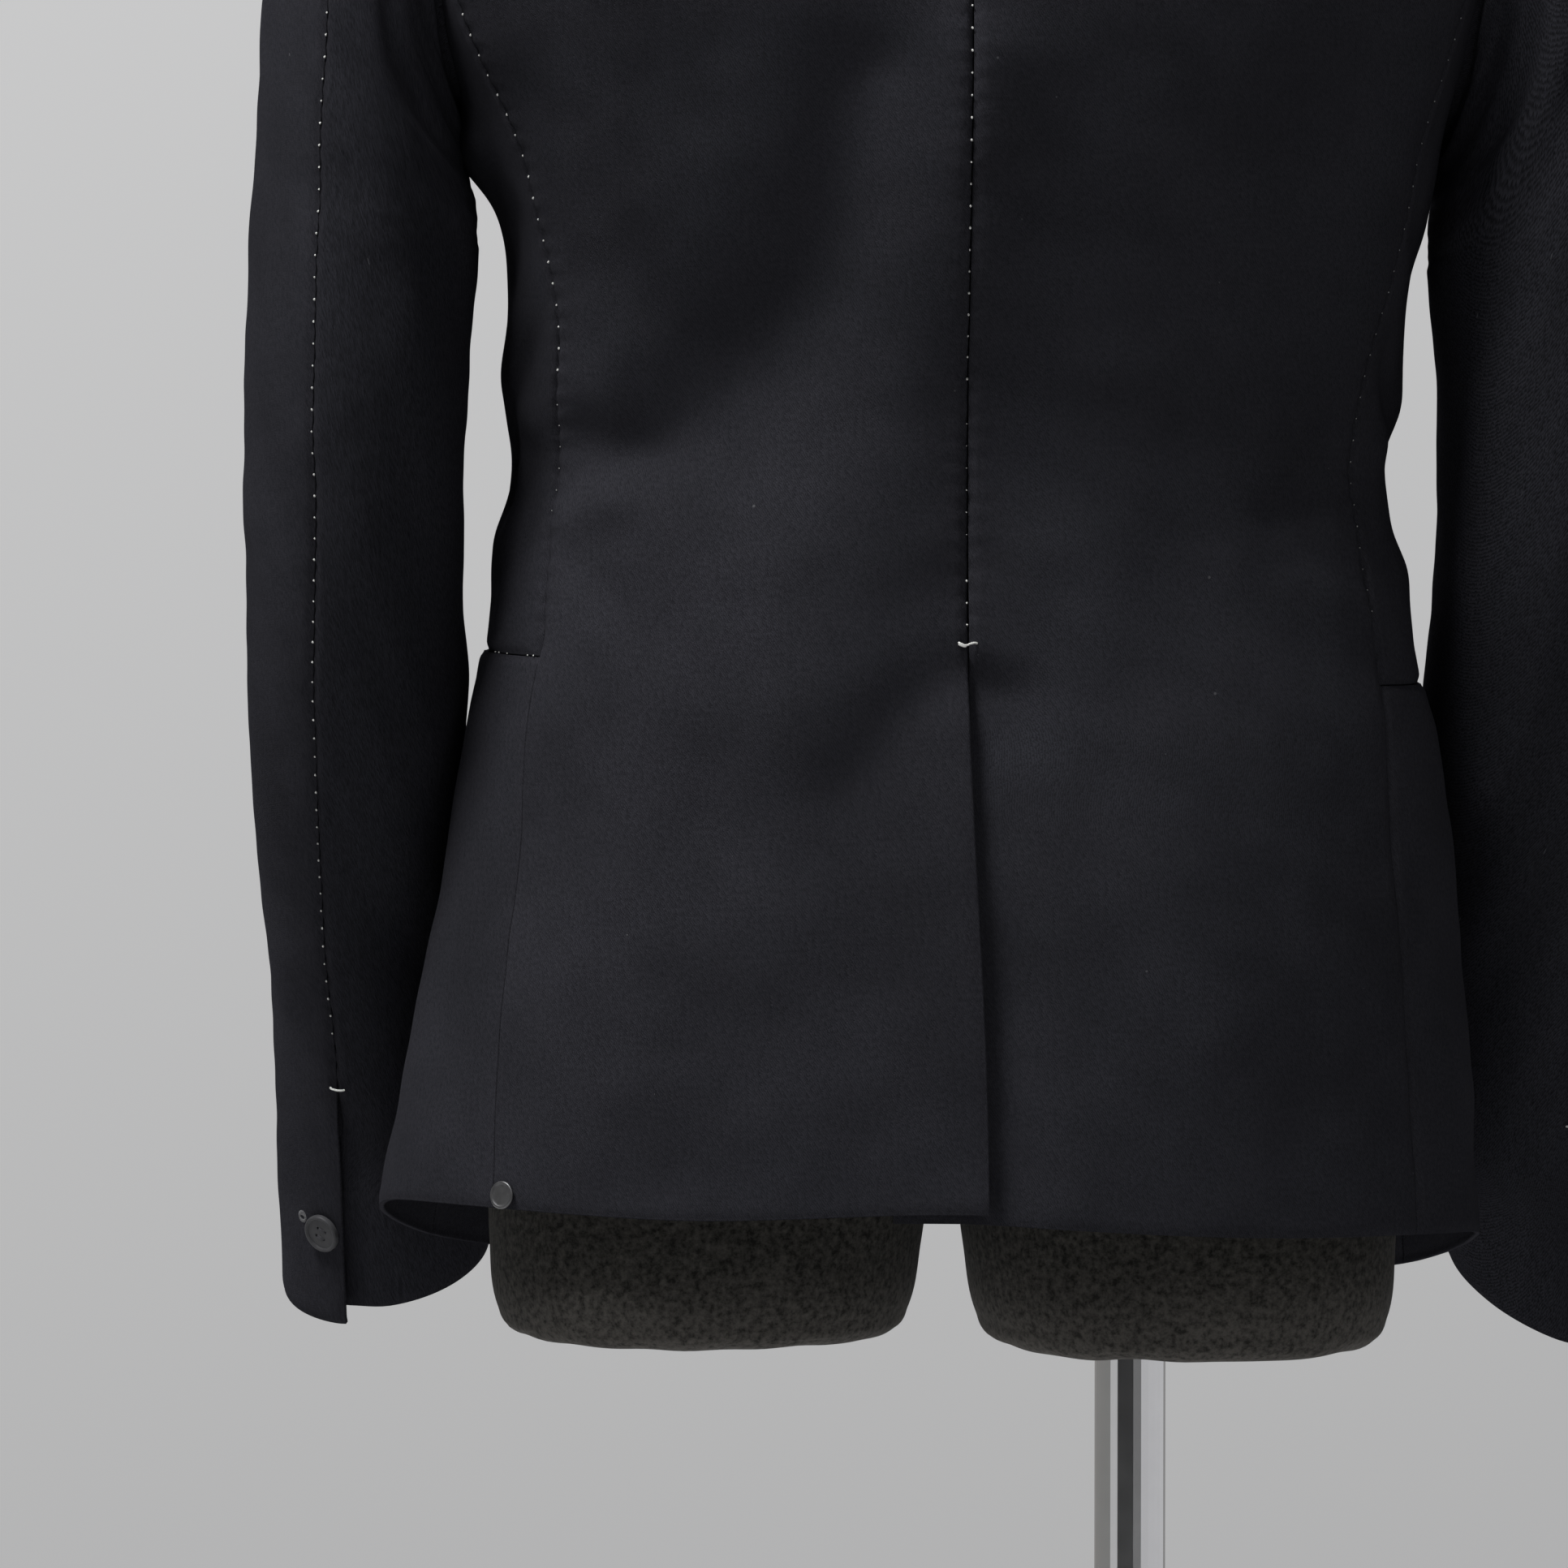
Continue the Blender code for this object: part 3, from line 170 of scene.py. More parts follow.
def plainSkin(side, turn, z):
    # the jacket's smooth outer surface
    s, c = np.sin(np.radians(turn)), np.cos(np.radians(turn))
    half = np.where(side * s >= 0, column(jacket, "left", z), column(jacket, "right", z))
    depth = np.where(c >= 0, column(jacket, "back", z), column(jacket, "front", z))
    power = 2.0 / column(jacket, "square", z)
    x = side * np.copysign(half * np.abs(s) ** power, s)
    y = np.copysign(depth * np.abs(c) ** power, c)
    rise = (shoulderHeight(x) - z) / tailoring["shoulderRound"]
    closed = closingDepth(x, c >= 0)
    rounded = closed + (y - closed) * np.sqrt(np.clip(1.0 - (1.0 - np.clip(rise, 0, 1)) ** 2, 0, 1))
    return vec(x, np.where(rise < 1.0, rounded, y), z)


def skinNormal(side, turn, z):
    beside = plainSkin(side, turn + 0.5, z) - plainSkin(side, turn - 0.5, z)
    above = plainSkin(side, turn, z + 0.001) - plainSkin(side, turn, z - 0.001)
    return unit(side * np.cross(above, beside))


def turnAt(side, x, z):
    x = np.broadcast_to(np.asarray(x, float), np.shape(z))
    half = np.where(side * x >= 0, column(jacket, "left", z), column(jacket, "right", z))
    part = np.minimum(1.0, np.abs(x) / half) ** (column(jacket, "square", z) / 2.0)
    return np.copysign(np.degrees(np.arcsin(part)), x)


def seamTurn(side, z):
    # the side-back seam, and the armhole's back edge above it
    low = turnAt(side, column(sideBackSeam, "left" if side > 0 else "right", z), z)
    return np.where(z >= tailoring["armholeBack"], turnAt(side, column(armholeEdge, "back", z), z), low)


def sideFrontTurn(side, z):
    # the side-front seam, and the armhole's front edge above it
    top = tailoring["armholeFront"]
    start = 180.0 - turnAt(side, column(armholeEdge, "front", top), np.full(np.shape(z), top))
    low = mix(start, tailoring["sideFrontTurn"], ease((top - z) / 0.12))
    return np.where(z >= top, 180.0 - turnAt(side, column(armholeEdge, "front", z), z), low)


def rollX(z):
    # the front's edge: past the middle up to the break, then the roll line up to the neck
    k = tailoring
    low = -k["frontLap"] + k["cutaway"] * ease((k["cutawayTop"] - z) / k["cutawayReach"])
    share = (z - k["breakZ"]) / (k["neckZ"] - k["breakZ"])
    return np.where(z <= k["breakZ"], low, mix(-k["frontLap"], k["neckX"], share))


def armholeFloor(u):
    k = tailoring
    behind = mix(k["armholeLow"], k["armholeBack"], (1.0 - np.minimum(u / k["armholeMiddle"], 1.0)) ** 2)
    share = np.maximum(u - k["armholeMiddle"], 0) / (1 - k["armholeMiddle"])
    before = mix(k["armholeLow"], k["armholeFront"], share ** 2)
    return np.where(u < k["armholeMiddle"], behind, before)


def steps(length, pitch, fine=(0.0004, 0.0011, 0.0021, 0.0034, 0.0052), ends=(True, True)):
    # places from 0 to 1 along a length, close together beside the ends
    near = [0.0] + [d / length for d in fine]
    first = near if ends[0] else [0.0]
    last = [1.0 - d for d in reversed(near)] if ends[1] else [1.0]
    lo, hi = first[-1], last[0]
    count = max(2, int(round((hi - lo) * length / pitch)))
    return np.array(first + [mix(lo, hi, i / count) for i in range(1, count)] + last)


def layPanel(first, last, edges, bands, across):
    # turns and heights of a panel's grid, in bands of rows between edges that cross it
    turns, heights = [], []
    u = across[None, :]
    for k, band in enumerate(bands):
        v = (band if k == 0 else band[1:])[:, None]
        z = np.full((len(v), len(across)), tailoring["pocketZ"])
        for _ in range(8):
            turn = mix(first(z), last(z), u)
            z = mix(edges[k](turn, u), edges[k + 1](turn, u), v)
        turns.append(turn)
        heights.append(z)
    return np.vstack(turns), np.vstack(heights)


def runs(points):
    # distance along each row and along each column of a grid
    across = np.zeros(points.shape[:2])
    across[:, 1:] = np.cumsum(np.linalg.norm(np.diff(points, axis=1), axis=-1), axis=1)
    up = np.zeros(points.shape[:2])
    up[1:, :] = np.cumsum(np.linalg.norm(np.diff(points, axis=0), axis=-1), axis=0)
    return across, up


def edgeDip(distance, depth, width=0.0020):
    # the cloth rolls in beside a seam or a finished edge
    return -depth * np.exp(-(distance / width) ** 2)


def puckers(distance, along, height, reach=0.0065):
    # each hand stitch draws the cloth down beside the seam
    return height * np.exp(-(distance / reach) ** 2) * np.cos(2 * pi * along / tailoring["pickStitch"])


def sideWord(side):
    return "Left" if side > 0 else "Right"


def newPiece(name, data, material):
    piece = bpy.data.objects.new(name, data)
    bpy.context.scene.collection.objects.link(piece)
    data.materials.append(material)
    return piece


def gridMesh(name, points, uvAcross, uvUp, material, flip=False, wall=None, closed=False):
    rowsCount, colsCount = points.shape[:2]
    index = np.arange(rowsCount * colsCount).reshape(rowsCount, colsCount)
    if closed:
        index = np.hstack([index, index[:, :1]])
    quads = np.stack([index[:-1, :-1], index[:-1, 1:], index[1:, 1:], index[1:, :-1]], axis=-1).reshape(-1, 4)
    if flip:
        quads = quads[:, ::-1]
    mesh = bpy.data.meshes.new(name)
    mesh.from_pydata(points.reshape(-1, 3).tolist(), [], quads.tolist())
    layer = mesh.uv_layers.new(name="cloth")
    places = np.stack([uvAcross.reshape(-1), uvUp.reshape(-1)], axis=-1)
    corners = np.empty(len(mesh.loops), dtype=np.int32)
    mesh.loops.foreach_get("vertex_index", corners)
    layer.data.foreach_set("uv", places[corners].astype(np.float32).reshape(-1))
    mesh.shade_smooth()
    piece = newPiece(name, mesh, material)
    if wall:
        shell = piece.modifiers.new("cloth wall", "SOLIDIFY")
        shell.thickness = wall
        shell.offset = -1.0
        shell.use_even_offset = False
    return piece


def finishPiece(piece, slotName, *nodes):
    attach(piece, "root")
    if nodes:
        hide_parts(*nodes)
    return piece


# Shader nodes
def newGroup(name, inputs, outputs):
    # inputs are name, kind and value; outputs are masks and other single values
    group = bpy.data.node_groups.new(name, "ShaderNodeTree")
    for title, kind, value in inputs:
        made = group.interface.new_socket(name=title, in_out="INPUT", socket_type=kind)
        if value is not None:
            made.default_value = value
    for title in outputs:
        group.interface.new_socket(name=title, in_out="OUTPUT", socket_type="NodeSocketFloat")
    return group, group.nodes.new("NodeGroupInput"), group.nodes.new("NodeGroupOutput")


def addNode(tree, kind, **values):
    made = tree.nodes.new(kind)
    for name, value in values.items():
        setattr(made, name, value)
    return made


def setInputs(node, values):
    for title, value in values.items():
        node.inputs[title].default_value = value


def mathNode(tree, operation, a, b=None, c=None):
    made = addNode(tree, "ShaderNodeMath", operation=operation)
    for socket, value in zip(made.inputs, (a, b, c)):
        if value is None:
            continue
        if isinstance(value, (int, float)):
            socket.default_value = value
        else:
            tree.links.new(value, socket)
    return made.outputs[0]


def noiseNode(tree, place, scale, detail, roughness=0.5, dimensions="3D"):
    made = addNode(tree, "ShaderNodeTexNoise", noise_dimensions=dimensions)
    setInputs(made, {"Scale": scale, "Detail": detail, "Roughness": roughness})
    tree.links.new(place, made.inputs["Vector"])
    return made.outputs[0]


def rangeNode(tree, value, fromEnds, toEnds=(0.0, 1.0), kind="LINEAR"):
    made = addNode(tree, "ShaderNodeMapRange", interpolation_type=kind)
    setInputs(made, dict(zip(("From Min", "From Max", "To Min", "To Max"), (*fromEnds, *toEnds))))
    tree.links.new(value, made.inputs["Value"])
    return made.outputs[0]


def colourMix(tree, factor, a, b, **blend):
    made = addNode(tree, "ShaderNodeMix", data_type="RGBA", **blend)
    if isinstance(factor, float):
        made.inputs["Factor"].default_value = factor
    else:
        tree.links.new(factor, made.inputs["Factor"])
    for socket, value in ((made.inputs[6], a), (made.inputs[7], b)):
        if isinstance(value, tuple):
            socket.default_value = (*value, 1.0)
        else:
            tree.links.new(value, socket)
    return made.outputs[2]


def bumpInto(tree, shader, height, strength, distance):
    bump = addNode(tree, "ShaderNodeBump")
    setInputs(bump, {"Strength": strength, "Distance": distance})
    tree.links.new(height, bump.inputs["Height"])
    tree.links.new(bump.outputs[0], shader.inputs["Normal"])


def buildTwill():
    # steep diagonal ribs of warp floats, cut by the finer weft, on the piece's own cloth measures
    group, source, sink = newGroup(
        "twillWeave",
        [("Cloth", "NodeSocketVector", None), ("Rib Pitch", "NodeSocketFloat", 0.0012),
         ("Lean", "NodeSocketFloat", 0.62), ("Thread Pitch", "NodeSocketFloat", 0.00062),
         ("Slub", "NodeSocketFloat", 0.35)],
        ("Height", "Rib", "Slub Mask", "Drift"))
    cloth = source.outputs["Cloth"]
    split = addNode(group, "ShaderNodeSeparateXYZ")
    group.links.new(cloth, split.inputs[0])
    across, up = split.outputs[0], split.outputs[1]
    # the ribs wander slowly, and each yarn is uneven
    wander = mathNode(group, "SUBTRACT", noiseNode(group, cloth, 55.0, 2.0, dimensions="2D"), 0.5)
    jitter = mathNode(group, "SUBTRACT", noiseNode(group, cloth, 620.0, 2.0, dimensions="2D"), 0.5)
    sway = mathNode(group, "MULTIPLY_ADD", jitter, 0.0019, mathNode(group, "MULTIPLY", wander, 0.0009))
    lean = mathNode(group, "MULTIPLY", up, source.outputs["Lean"])
    diagonal = mathNode(group, "ADD", mathNode(group, "SUBTRACT", across, lean), sway)
    ribCount = mathNode(group, "DIVIDE", diagonal, source.outputs["Rib Pitch"])
    ribTurn = mathNode(group, "MULTIPLY", ribCount, 2 * pi)
    rib = mathNode(group, "MULTIPLY_ADD", mathNode(group, "SINE", ribTurn), 0.5, 0.5)
    weftCount = mathNode(group, "DIVIDE", up, source.outputs["Thread Pitch"])
    weftTurn = mathNode(group, "ADD", mathNode(group, "MULTIPLY", weftCount, 2 * pi), ribTurn)
    weft = mathNode(group, "MULTIPLY_ADD", mathNode(group, "SINE", weftTurn), 0.5, 0.5)
    stretch = addNode(group, "ShaderNodeCombineXYZ")
    group.links.new(mathNode(group, "MULTIPLY", across, 900.0), stretch.inputs[0])
    group.links.new(mathNode(group, "MULTIPLY", up, 110.0), stretch.inputs[1])
    slub = noiseNode(group, stretch.outputs[0], 1.0, 3.0, dimensions="2D")
    height = mathNode(group, "MULTIPLY_ADD", weft, 0.35, mathNode(group, "MULTIPLY", rib, 0.65))
    made = {
        "Height": mathNode(group, "MULTIPLY_ADD", slub, source.outputs["Slub"], height),
        "Rib": mathNode(group, "MULTIPLY_ADD", jitter, 1.9, rib),
        "Slub Mask": slub,
        "Drift": noiseNode(group, cloth, 14.0, 4.0, 0.6, "2D"),
    }
    for title, value in made.items():
        group.links.new(value, sink.inputs[title])
    return group


def buildLint():
    # pale lint and short fibre on a dark cloth
    group, source, sink = newGroup(
        "lint",
        [("Place", "NodeSocketVector", None), ("Scale", "NodeSocketFloat", 260.0),
         ("Amount", "NodeSocketFloat", 0.5)],
        ("Mask",))
    spots = addNode(group, "ShaderNodeTexVoronoi", feature="F1", distance="EUCLIDEAN")
    group.links.new(source.outputs["Place"], spots.inputs["Vector"])
    group.links.new(source.outputs["Scale"], spots.inputs["Scale"])
    near = mathNode(group, "LESS_THAN", spots.outputs["Distance"], 0.14)
    limit = mathNode(group, "SUBTRACT", 1.12, source.outputs["Amount"])
    rare = mathNode(group, "GREATER_THAN", noiseNode(group, source.outputs["Place"], 70.0, 2.0), limit)
    group.links.new(mathNode(group, "MULTIPLY", near, rare), sink.inputs["Mask"])
    return group


twillGroup = buildTwill()
lintGroup = buildLint()


def newMaterial(name):
    made = bpy.data.materials.new(name)
    made.use_nodes = True
    return made, made.node_tree, made.node_tree.nodes["Principled BSDF"]


def twillCloth(name, k):
    made, tree, shader = newMaterial(name)
    uv = addNode(tree, "ShaderNodeUVMap", uv_map="cloth")
    weave = addNode(tree, "ShaderNodeGroup", node_tree=twillGroup)
    tree.links.new(uv.outputs[0], weave.inputs["Cloth"])
    setInputs(weave, {"Rib Pitch": k["ribPitch"], "Lean": k["lean"], "Slub": k["slub"]})
    lint = addNode(tree, "ShaderNodeGroup", node_tree=lintGroup)
    tree.links.new(uv.outputs[0], lint.inputs["Place"])
    lint.inputs["Amount"].default_value = k["lint"]
    ribs = colourMix(tree, weave.outputs["Rib"], k["valley"], k["rib"])
    drift = rangeNode(tree, weave.outputs["Drift"], (0.30, 0.72))
    shade = colourMix(tree, drift, (0.80, 0.80, 0.80), (1.16, 1.16, 1.17))
    drifted = colourMix(tree, 1.0, ribs, shade, blend_type="MULTIPLY")
    slub = mathNode(tree, "MULTIPLY", weave.outputs["Slub Mask"], 0.42)
    slubbed = colourMix(tree, slub, drifted, k["rib"])
    linted = colourMix(tree, mathNode(tree, "MULTIPLY", lint.outputs["Mask"], 0.45), slubbed, k["lintColour"])
    tree.links.new(linted, shader.inputs["Base Color"])
    rough = rangeNode(tree, weave.outputs["Slub Mask"], (0.0, 1.0), k["rough"])
    tree.links.new(rough, shader.inputs["Roughness"])
    bumpInto(tree, shader, weave.outputs["Height"], k["bump"], 0.00022)
    setInputs(shader, {"Sheen Weight": k["sheen"], "Sheen Roughness": 0.55,
                       "Sheen Tint": (0.80, 0.80, 0.92, 1.0), "Specular IOR Level": 0.0})
    return made


clothLook = {
    "ribPitch": 0.00092, "lean": 0.62, "slub": 0.35, "lint": 0.42, "lintColour": (0.10, 0.10, 0.105),
    "valley": (0.0100, 0.0100, 0.0118), "rib": (0.0205, 0.0205, 0.0243), "rough": (0.78, 0.95),
    "bump": 0.45, "sheen": 0.006,
}
blazerTwill = twillCloth("blazerTwill", clothLook)
underShadedLook = dict(clothLook, ribPitch=0.00102, lean=-0.70, bump=0.6)
# the under sleeves' darker colours are painted shade, where they turn down and in, away from the light; their
# coarser rib leaning the other way is their own
underShadedLook.update(valley=(0.0050, 0.0050, 0.0060), rib=(0.0200, 0.0200, 0.0238))
underShadedTwill = twillCloth("underSleeveShadedTwill", underShadedLook)
collarTwill = twillCloth("collarTwill", dict(clothLook, lint=0.36, bump=0.45))


def threadLook(name, colour, rough):
    # waxed sewing thread with its own twist
    made, tree, shader = newMaterial(name)
    place = addNode(tree, "ShaderNodeTexCoord")
    strands = addNode(tree, "ShaderNodeTexWave", bands_direction="DIAGONAL")
    setInputs(strands, {"Scale": 900.0, "Distortion": 1.5})
    tree.links.new(place.outputs["Object"], strands.inputs["Vector"])
    dark = tuple(c * 0.72 for c in colour)
    tree.links.new(colourMix(tree, strands.outputs["Fac"], dark, colour), shader.inputs["Base Color"])
    bumpInto(tree, shader, strands.outputs["Fac"], 0.5, 0.00008)
    setInputs(shader, {"Roughness": rough, "Specular IOR Level": 0.12})
    return made


whiteThread = threadLook("whiteThread", (0.55, 0.55, 0.53), 0.55)
darkThread = threadLook("darkThread", (0.045, 0.045, 0.050), 0.6)
greyThread = threadLook("greyThread", (0.11, 0.11, 0.115), 0.6)
faintThread = threadLook("faintThread", (0.34, 0.34, 0.33), 0.6)


def speckled(name, base, deep, rough, metal, scale, bumpSize, shine=0.5):
    # moulded or tumbled surface: fine mottling, scuffs in the gloss and a faint uneven relief
    made, tree, shader = newMaterial(name)
    place = addNode(tree, "ShaderNodeTexCoord")
    grain = noiseNode(tree, place.outputs["Object"], scale, 6.0)
    tree.links.new(colourMix(tree, grain, deep, base), shader.inputs["Base Color"])
    tree.links.new(rangeNode(tree, grain, (0.0, 1.0), rough), shader.inputs["Roughness"])
    bumpInto(tree, shader, grain, 0.35, bumpSize)
    setInputs(shader, {"Metallic": metal, "Specular IOR Level": shine})
    return made


hornButton = speckled("hornButton", (0.044, 0.044, 0.047), (0.022, 0.022, 0.024),
                      (0.40, 0.60), 0.0, 420.0, 0.00006, 0.12)
rivetMetal = speckled("rivetMetal", (0.105, 0.105, 0.108), (0.060, 0.060, 0.062),
                      (0.34, 0.55), 1.0, 600.0, 0.00005)
chromePlate = speckled("chromePlate", (0.66, 0.66, 0.67), (0.60, 0.60, 0.61),
                       (0.07, 0.16), 1.0, 90.0, 0.00001)


def formFelt():
    # brushed jersey over the dress form: short fibre, pilling and a paler colour low on the thighs
    made, tree, shader = newMaterial("formFelt")
    place = addNode(tree, "ShaderNodeTexCoord").outputs["Object"]
    split = addNode(tree, "ShaderNodeSeparateXYZ")
    tree.links.new(place, split.inputs[0])
    fibre = noiseNode(tree, place, 380.0, 5.0, 0.7)
    spread = rangeNode(tree, fibre, (0.36, 0.66))
    low = rangeNode(tree, split.outputs[2], (0.800, 0.752), kind="SMOOTHSTEP")
    patches = mathNode(tree, "MULTIPLY_ADD", noiseNode(tree, place, 24.0, 3.0), 0.9, 0.25)
    paleLow = mathNode(tree, "MULTIPLY", low, patches)
    paleLow = mathNode(tree, "MULTIPLY", paleLow, mathNode(tree, "MULTIPLY_ADD", spread, 0.8, 0.2))
    plain = colourMix(tree, spread, (0.0070, 0.0067, 0.0062), (0.040, 0.038, 0.034))
    tree.links.new(colourMix(tree, paleLow, plain, (0.062, 0.058, 0.053)), shader.inputs["Base Color"])
    bumpInto(tree, shader, fibre, 0.6, 0.0005)
    setInputs(shader, {"Roughness": 0.95, "Sheen Weight": 0.02, "Sheen Roughness": 0.6,
                       "Specular IOR Level": 0.02})
    return made


feltLook = formFelt()
print("materials built")

# The slack and drag folds: x or turn measure, height, the same at the other end, width, height, bend
backFolds = [
    (0.045, 1.235, 0.145, 1.078, 0.022, -0.0078, -0.15),
    (-0.006, 1.240, 0.080, 1.010, 0.031, 0.0096, -0.06),
    (0.146, 1.094, 0.096, 1.086, 0.015, -0.0042, 0.03),
    (0.150, 1.066, 0.108, 1.078, 0.012, 0.0042, -0.04),
    (0.016, 1.028, 0.072, 0.974, 0.018, 0.0034, 0.06),
    (0.004, 1.012, 0.046, 0.962, 0.013, -0.0020, 0.08),
    (-0.008, 1.012, -0.048, 0.958, 0.014, -0.0026, -0.08),
    (-0.012, 1.196, -0.078, 1.174, 0.014, -0.0034, 0.05),
    (-0.085, 1.060, -0.086, 1.022, 0.026, -0.0053, 0.0),
    (0.118, 0.990, 0.128, 0.860, 0.022, 0.0034, 0.03),
    (0.120, 1.158, 0.078, 1.110, 0.020, -0.0030, 0.06),
    (0.141, 1.046, 0.120, 1.028, 0.010, -0.0023, 0.05),
    (0.012, 1.060, 0.040, 1.030, 0.014, 0.0023, 0.06),
    (0.090, 1.000, 0.070, 0.930, 0.020, -0.0019, 0.04),
    (-0.005, 1.128, -0.042, 1.114, 0.009, -0.0025, 0.05),
    (-0.060, 1.130, -0.110, 1.100, 0.020, 0.0027, -0.05),
    (-0.030, 1.060, -0.058, 1.080, 0.014, 0.0019, 0.05),
    (-0.118, 1.075, -0.148, 1.090, 0.011, -0.0027, 0.04),
    (-0.130, 1.050, -0.150, 1.040, 0.010, 0.0023, 0.04),
    (-0.075, 0.985, -0.100, 0.900, 0.022, 0.0027, 0.04),
    (-0.020, 0.960, -0.036, 0.850, 0.018, -0.0017, 0.03),
    (0.040, 0.905, 0.045, 0.835, 0.020, -0.0017, 0.03),
    (0.165, 1.290, 0.120, 1.225, 0.020, -0.0034, 0.06),
    (-0.165, 1.290, -0.112, 1.215, 0.020, -0.0034, -0.06),
    (0.150, 1.385, 0.070, 1.345, 0.022, 0.0023, 0.05),
    (-0.155, 1.380, -0.075, 1.350, 0.020, 0.0023, -0.05),
]
# on the sides and the fronts the first measure is the turn times 2.8 mm
sideFolds = [
    (0.196, 1.130, 0.255, 1.085, 0.013, -0.0036, 0.05),
    (0.198, 1.100, 0.270, 1.118, 0.012, 0.0025, 0.05),
    (0.205, 1.180, 0.262, 1.150, 0.015, -0.0025, -0.05),
    (0.215, 1.060, 0.290, 1.040, 0.013, 0.0023, 0.05),
    (0.230, 0.990, 0.238, 0.860, 0.018, 0.0029, 0.03),
    (0.290, 0.985, 0.300, 0.850, 0.018, -0.0025, -0.03),
]
frontFolds = [
    (0.490, 1.098, 0.405, 1.150, 0.015, 0.0031, 0.05),
    (0.488, 1.094, 0.400, 1.058, 0.014, -0.0031, -0.05),
    (0.480, 1.100, 0.380, 1.104, 0.011, -0.0020, 0.03),
    (0.385, 1.090, 0.345, 1.040, 0.014, 0.0024, 0.06),
    (0.360, 1.255, 0.385, 1.180, 0.018, -0.0031, 0.05),
    (0.350, 1.170, 0.340, 1.110, 0.014, 0.0020, 0.04),
    (0.478, 0.992, 0.420, 0.930, 0.016, -0.0024, 0.05),
    (0.470, 0.960, 0.455, 0.840, 0.020, 0.0024, -0.04),
    (0.385, 0.960, 0.380, 0.850, 0.020, -0.0020, 0.03),
]
# slack cloth below the left armhole alone
armpitFold = [(0.222, 1.211, 0.285, 1.205, 0.015, 0.0092, 0.0)]


def bodyFolds(side, turn, z, x):
    seed = 3.0 if side > 0 else 8.0
    rise = foldsRise(backFolds, x, z) * (np.cos(np.radians(turn)) > 0)
    beside = ease((turn - 55.0) / 20.0)
    measure = turn * tailoring["turnRun"]
    rise = rise + beside * (foldsRise(sideFolds, measure, z) + foldsRise(frontFolds, measure, z))
    rise = rise + 0.00080 * uneven(measure * side, z, 0.110, seed)
    rise = rise + 0.00022 * uneven(measure * side, z, 0.034, seed + 1.3)
    if side > 0:
        rise = rise + foldsRise(armpitFold, measure, z)
    return rise * ease((1.455 - z) / 0.03)


def bodyPanel(kind, side, k):
    # one panel of the body; k holds its seams, edges, rows and what happens at its borders
    word = sideWord(side)
    turn, z = layPanel(k["first"], k["last"], k["edges"], k["bands"], k["across"])
    plain = plainSkin(side, turn, z)
    across, up = runs(plain)
    fromLast = across[:, -1:] - across
    fromTop = up[-1:, :] - up
    out = bodyFolds(side, turn, z, plain[..., 0])
    out = out + k["sink"](turn, z, plain[..., 0])
    out = out + edgeDip(across, k["dips"][0](z)) + edgeDip(fromLast, k["dips"][1](z))
    out = out + edgeDip(up, k["dips"][2](z)) + edgeDip(fromTop, k["dips"][3](z))
    out = out + puckers(across, up, k["pucker"][0](z)) + puckers(fromLast, up, k["pucker"][1](z))
    points = hang(plain + skinNormal(side, turn, z) * out[..., None])
    piece = gridMesh(kind + word + "Panel", points, across * side, up, blazerTwill,
                     flip=side > 0, wall=tailoring["cloth"])
    finishPiece(piece, "cloth", f"{kind}_{word.lower()}")
    return {"piece": piece, "points": points, "normal": skinNormal(side, turn, z),
            "width": float(across[:, -1].max()), "length": float(up[-1].max())}


def flat(value):
    return lambda z: np.full(np.shape(z), float(value))


def aboveOnly(high, low, start, length=0.012):
    # one value above a height and another one below it
    return lambda z: mix(low, high, ease((z - start) / length))


def hemHeight(turn):
    return column(hemLine, "z", np.abs(turn))


def pocketLine(turn, u):
    return np.full(np.shape(turn), tailoring["pocketZ"])


def topEdge(side):
    return lambda turn, u: shoulderHeight(plainSkin(side, turn, np.full(np.shape(turn), 1.44))[..., 0])


def level(z):
    return lambda turn, u: np.full(np.broadcast(turn, u).shape, z)


def turnShift(side, turn, z, gap):
    step = np.linalg.norm(plainSkin(side, turn + 0.5, z) - plainSkin(side, turn - 0.5, z), axis=-1)
    return gap / step


def roundRows(count):
    # rows that close the top of a panel over the shoulder
    share = tailoring["shoulderRound"] / 0.145
    flatPart = np.linspace(0.0, 1.0 - share, 22)
    arc = 1.0 - share * (1.0 - np.cos(pi / 2 * (1.0 - np.linspace(0.0, 1.0, count)[1:])))
    return np.concatenate([flatPart, arc])


# the back vent: the left flap lies on top and drifts over, the right one runs on below it
ventCut = {
    "drift": 0.006, "driftReach": 0.20, "flapLift": 0.0035, "liftTurn": 30.0,
    "gape": 0.0016, "gapeReach": 0.10, "gapeWidth": 0.020,
    "underlap": 0.030, "underStart": 0.022, "underReach": 0.045, "sinkFrom": 0.006, "sinkWidth": 0.034,
}


